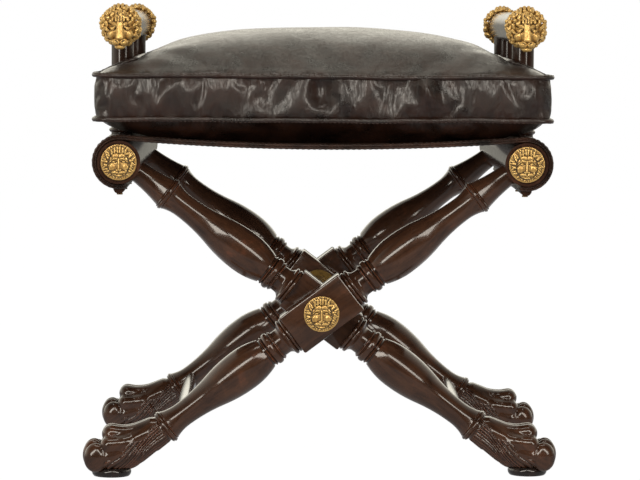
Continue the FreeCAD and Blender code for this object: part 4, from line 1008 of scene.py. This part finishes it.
def stuff(obj, held, cap):
    """Let the stuffing press the cover out between its seams, no further than the cap."""
    scene = bpy.context.scene
    seams = obj.vertex_groups.new(name="seams")
    seams.add(held, 1.0, "REPLACE")
    start = np.array([vertex.co for vertex in obj.data.vertices])
    cloth = obj.modifiers.new("stuffing", "CLOTH")
    cloth.settings.quality = 6
    cloth.settings.mass = 0.25
    cloth.settings.tension_stiffness = cloth.settings.compression_stiffness = 14.0
    cloth.settings.shear_stiffness = 6.0
    cloth.settings.bending_stiffness = 1.2
    cloth.settings.use_pressure = True
    cloth.settings.uniform_pressure_force = 3.0
    cloth.settings.shrink_min = -0.025
    cloth.settings.vertex_group_mass = "seams"
    cloth.settings.effector_weights.gravity = 0.0
    cloth.collision_settings.use_collision = False
    for step in range(1, 19):
        scene.frame_set(step)
    done = settled(obj)
    scene.frame_set(1)
    moved = np.array([vertex.co for vertex in done.vertices]) - start
    far = np.linalg.norm(moved, axis=1)
    beside_post = (np.abs(start[:, 1]) < (TAB + 4.0) * MM) & (np.abs(start[:, 0]) > (WAIST - 14.0) * MM)
    strip = (start[:, 2] > (BOTTOM_SEAM - 1.0) * MM) & (start[:, 2] < (TOP_SEAM + 1.0) * MM)
    limit = np.where(beside_post, 0.2 * cap, np.where(strip, 0.45 * cap, cap))
    kept = start + moved * np.minimum(1.0, limit / (far + 1e-9))[:, None]
    done.vertices.foreach_set("co", kept.astype(np.float32).ravel())
    obj.vertex_groups.clear()


def iron(mesh, passes):
    """Ease small unevenness out of the top panel, up and down only."""
    with bench(mesh) as work:
        work.normal_update()
        top = [vert for vert in work.verts if vert.normal.z > 0.6 and vert.co.z > (TOP_SEAM + 3.0) * MM]
        for _ in range(passes):
            bmesh.ops.smooth_vert(work, verts=top, factor=0.5, use_axis_z=True)


mesh, held = cover_mesh()
cover = show("cushion_leather_cover", mesh, COVER_HIDE)
stuff(cover, held, cap=0.006)
iron(cover.data, passes=5)
cover.data.shade_smooth()
finer = cover.modifiers.new("finer", "SUBSURF")
finer.levels = finer.render_levels = 1
settled(cover)
cover.data.shade_smooth()
mark_relief(cover.data, reach=0.004, passes=2)


def welt(name, seam, which):
    """Piping: a strip of the cover's leather sewn round a cord along a seam."""
    plan, share = cushion_outline(grow=3.1, spacing=3.0)
    out = outward_of(plan)
    at_top = which == 0.0
    lift = crown_rise(plan) if at_top else 0.0
    line = np.column_stack([plan, seam + seam_wave(share, which) + lift])
    girth = 2.9 + 0.12 * np.sin(2 * math.pi * 190 * share)
    strands = []
    for turn in np.linspace(0.0, 2 * math.pi, 12, endpoint=False):
        spoke = np.column_stack([out * (girth * math.cos(turn))[:, None], girth * math.sin(turn)])
        strands.append(line + spoke)
    points = np.concatenate(strands) * MM
    mesh = mesh_of(name, points.tolist(), band_faces(len(strands), len(plan), closed=True))
    outward(mesh)
    mesh.shade_smooth()
    mark_relief(mesh, reach=0.0012, passes=1)
    thread_line = line + np.column_stack([out * 1.75, np.full(len(plan), 2.35 if at_top else -2.35)])
    return show(name, mesh, COVER_HIDE), (thread_line * MM).tolist()


top_welt, top_line = welt("cushion_top_welt", TOP_SEAM, 0.0)
bottom_welt, bottom_line = welt("cushion_bottom_welt", BOTTOM_SEAM, 1.0)
cover_thread = sewn("cushion_stitches", [(top_line, True), (bottom_line, True)],
                    pitch=0.0052, length=0.0034, thickness=0.0009)
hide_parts("cushion_cover", "cushion_filling")
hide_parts("cushion_top_piping")
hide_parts("cushion_bottom_piping")
for obj in (cover, top_welt, bottom_welt, cover_thread):
    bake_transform(obj)

# Studio. A white floor under soft, even light, with a tall lamp to each side and a long one
# above, and the camera in front of the stool at a little over seat height.
scene = bpy.context.scene
scene.view_settings.view_transform = "Standard"


def chosen(tree, ray, other, wanted):
    """One strength for rays of a kind, another for the rest."""
    return put(tree, "ShaderNodeMix", {0: ray, 2: other, 3: wanted}, data_type="FLOAT").outputs[0]


paper, tree, shader = finish_of("white_paper")
all_over(shader, {"Base Color": (0.86, 0.86, 0.86, 1.0), "Roughness": 0.9, "Specular IOR Level": 0.0})
path = put(tree, "ShaderNodeLightPath").outputs
spot = put(tree, "ShaderNodeSeparateXYZ", {0: put(tree, "ShaderNodeTexCoord").outputs["Object"]}).outputs
before = spread(tree, spot["Y"], -1.5, -1.1, 0.02, 0.32)
under = spread(tree, spot["Y"], -0.4, 0.3, 0.0, 0.6)
beyond = spread(tree, spot["Y"], 0.6, 1.6, 1.0, 0.15)
mirrored = calc(tree, "MULTIPLY", calc(tree, "MAXIMUM", before, under), beyond)
shown = chosen(tree, path["Is Glossy Ray"], 0.85, mirrored)
shown = chosen(tree, path["Is Camera Ray"], shown, 1.06)
glow = put(tree, "ShaderNodeEmission", {"Color": (1.0, 1.0, 1.0, 1.0), "Strength": shown})
blend = put(tree, "ShaderNodeMixShader", {0: 0.94, 1: shader.outputs[0], 2: glow.outputs[0]})
tree.links.new(blend.outputs[0], tree.nodes["Material Output"].inputs["Surface"])
floor_corners = [(x, y, -0.0005) for x, y in ((-6, -6), (6, -6), (6, 6), (-6, 6))]
floor = show("floor", mesh_of("floor", floor_corners, [(0, 1, 2, 3)]), paper)

world = bpy.data.worlds.new("studio")
world.use_nodes = True
scene.world = world
tree = world.node_tree
path = put(tree, "ShaderNodeLightPath").outputs
sky = put(tree, "ShaderNodeTexCoord").outputs["Generated"]
split = put(tree, "ShaderNodeSeparateXYZ", {0: sky}).outputs
behind = spread(tree, split["Y"], -0.35, 0.35, 0.02, 1.0)
lift = calc(tree, "MULTIPLY", behind, spread(tree, split["Z"], 0.15, 0.60, 1.7, 0.72))
lift = calc(tree, "MULTIPLY", lift, spread(tree, split["Z"], 0.02, 0.15, 0.15, 1.0))
lift = calc(tree, "ADD", lift, spread(tree, split["X"], -0.95, -0.6, 0.6, 0.0))
fill = spread(tree, split["Y"], -0.7, 0.7, 0.26, 0.10)
fill = calc(tree, "MULTIPLY", fill, spread(tree, split["Z"], 0.1, 0.8, 1.0, 0.3))
level = chosen(tree, path["Is Glossy Ray"], fill, lift)
level = chosen(tree, path["Is Camera Ray"], level, 1.0)
background = tree.nodes["Background"]
warm = mixed(tree, path["Is Camera Ray"], (1.0, 0.955, 0.82, 1.0), (1.0, 1.0, 1.0, 1.0))
tree.links.new(warm, background.inputs["Color"])
tree.links.new(level, background.inputs["Strength"])


def lamp(name, place, slope, size, watts):
    """Strip of light that faces the stool, its long side on a slope."""
    light = bpy.data.lights.new(name, "AREA")
    light.shape = "RECTANGLE"
    light.size, light.size_y = size
    light.energy = watts
    light.color = (1.0, 0.94, 0.84)
    obj = bpy.data.objects.new(name, light)
    scene.collection.objects.link(obj)
    back = (Vector(place) - Vector((0.0, 0.0, 0.3))).normalized()
    along = (Vector(slope) - back * back.dot(Vector(slope))).normalized()
    aim = Matrix((along.cross(back), along, back)).transposed().to_4x4()
    obj.matrix_world = Matrix.Translation(place) @ aim


lamp("left_lamp", (-1.0, -2.5, 1.15), (0.8, 0.0, 0.6), size=(0.5, 2.2), watts=34.0)
lamp("right_lamp", (1.0, -2.4, 1.2), (-0.8, 0.0, 0.6), size=(0.5, 2.2), watts=29.0)
lamp("top_lamp", (0.0, -0.6, 2.3), (0.0, 1.0, 0.0), size=(1.2, 0.4), watts=8.0)

camera = bpy.data.cameras.new("camera")
camera.lens = 180.0
camera.sensor_width = 36.0
eye = bpy.data.objects.new("camera", camera)
scene.collection.objects.link(eye)
swing, dip, roll = -0.633, 4.194, 0.392
turn = Matrix.Rotation(math.radians(swing), 4, "Z") @ Matrix.Rotation(math.radians(90.0 - dip), 4, "X")
turn = turn @ Matrix.Rotation(math.radians(roll), 4, "Z")
eye.matrix_world = Matrix.Translation((-0.0458, -4.1373, 0.5815)) @ turn
scene.camera = eye
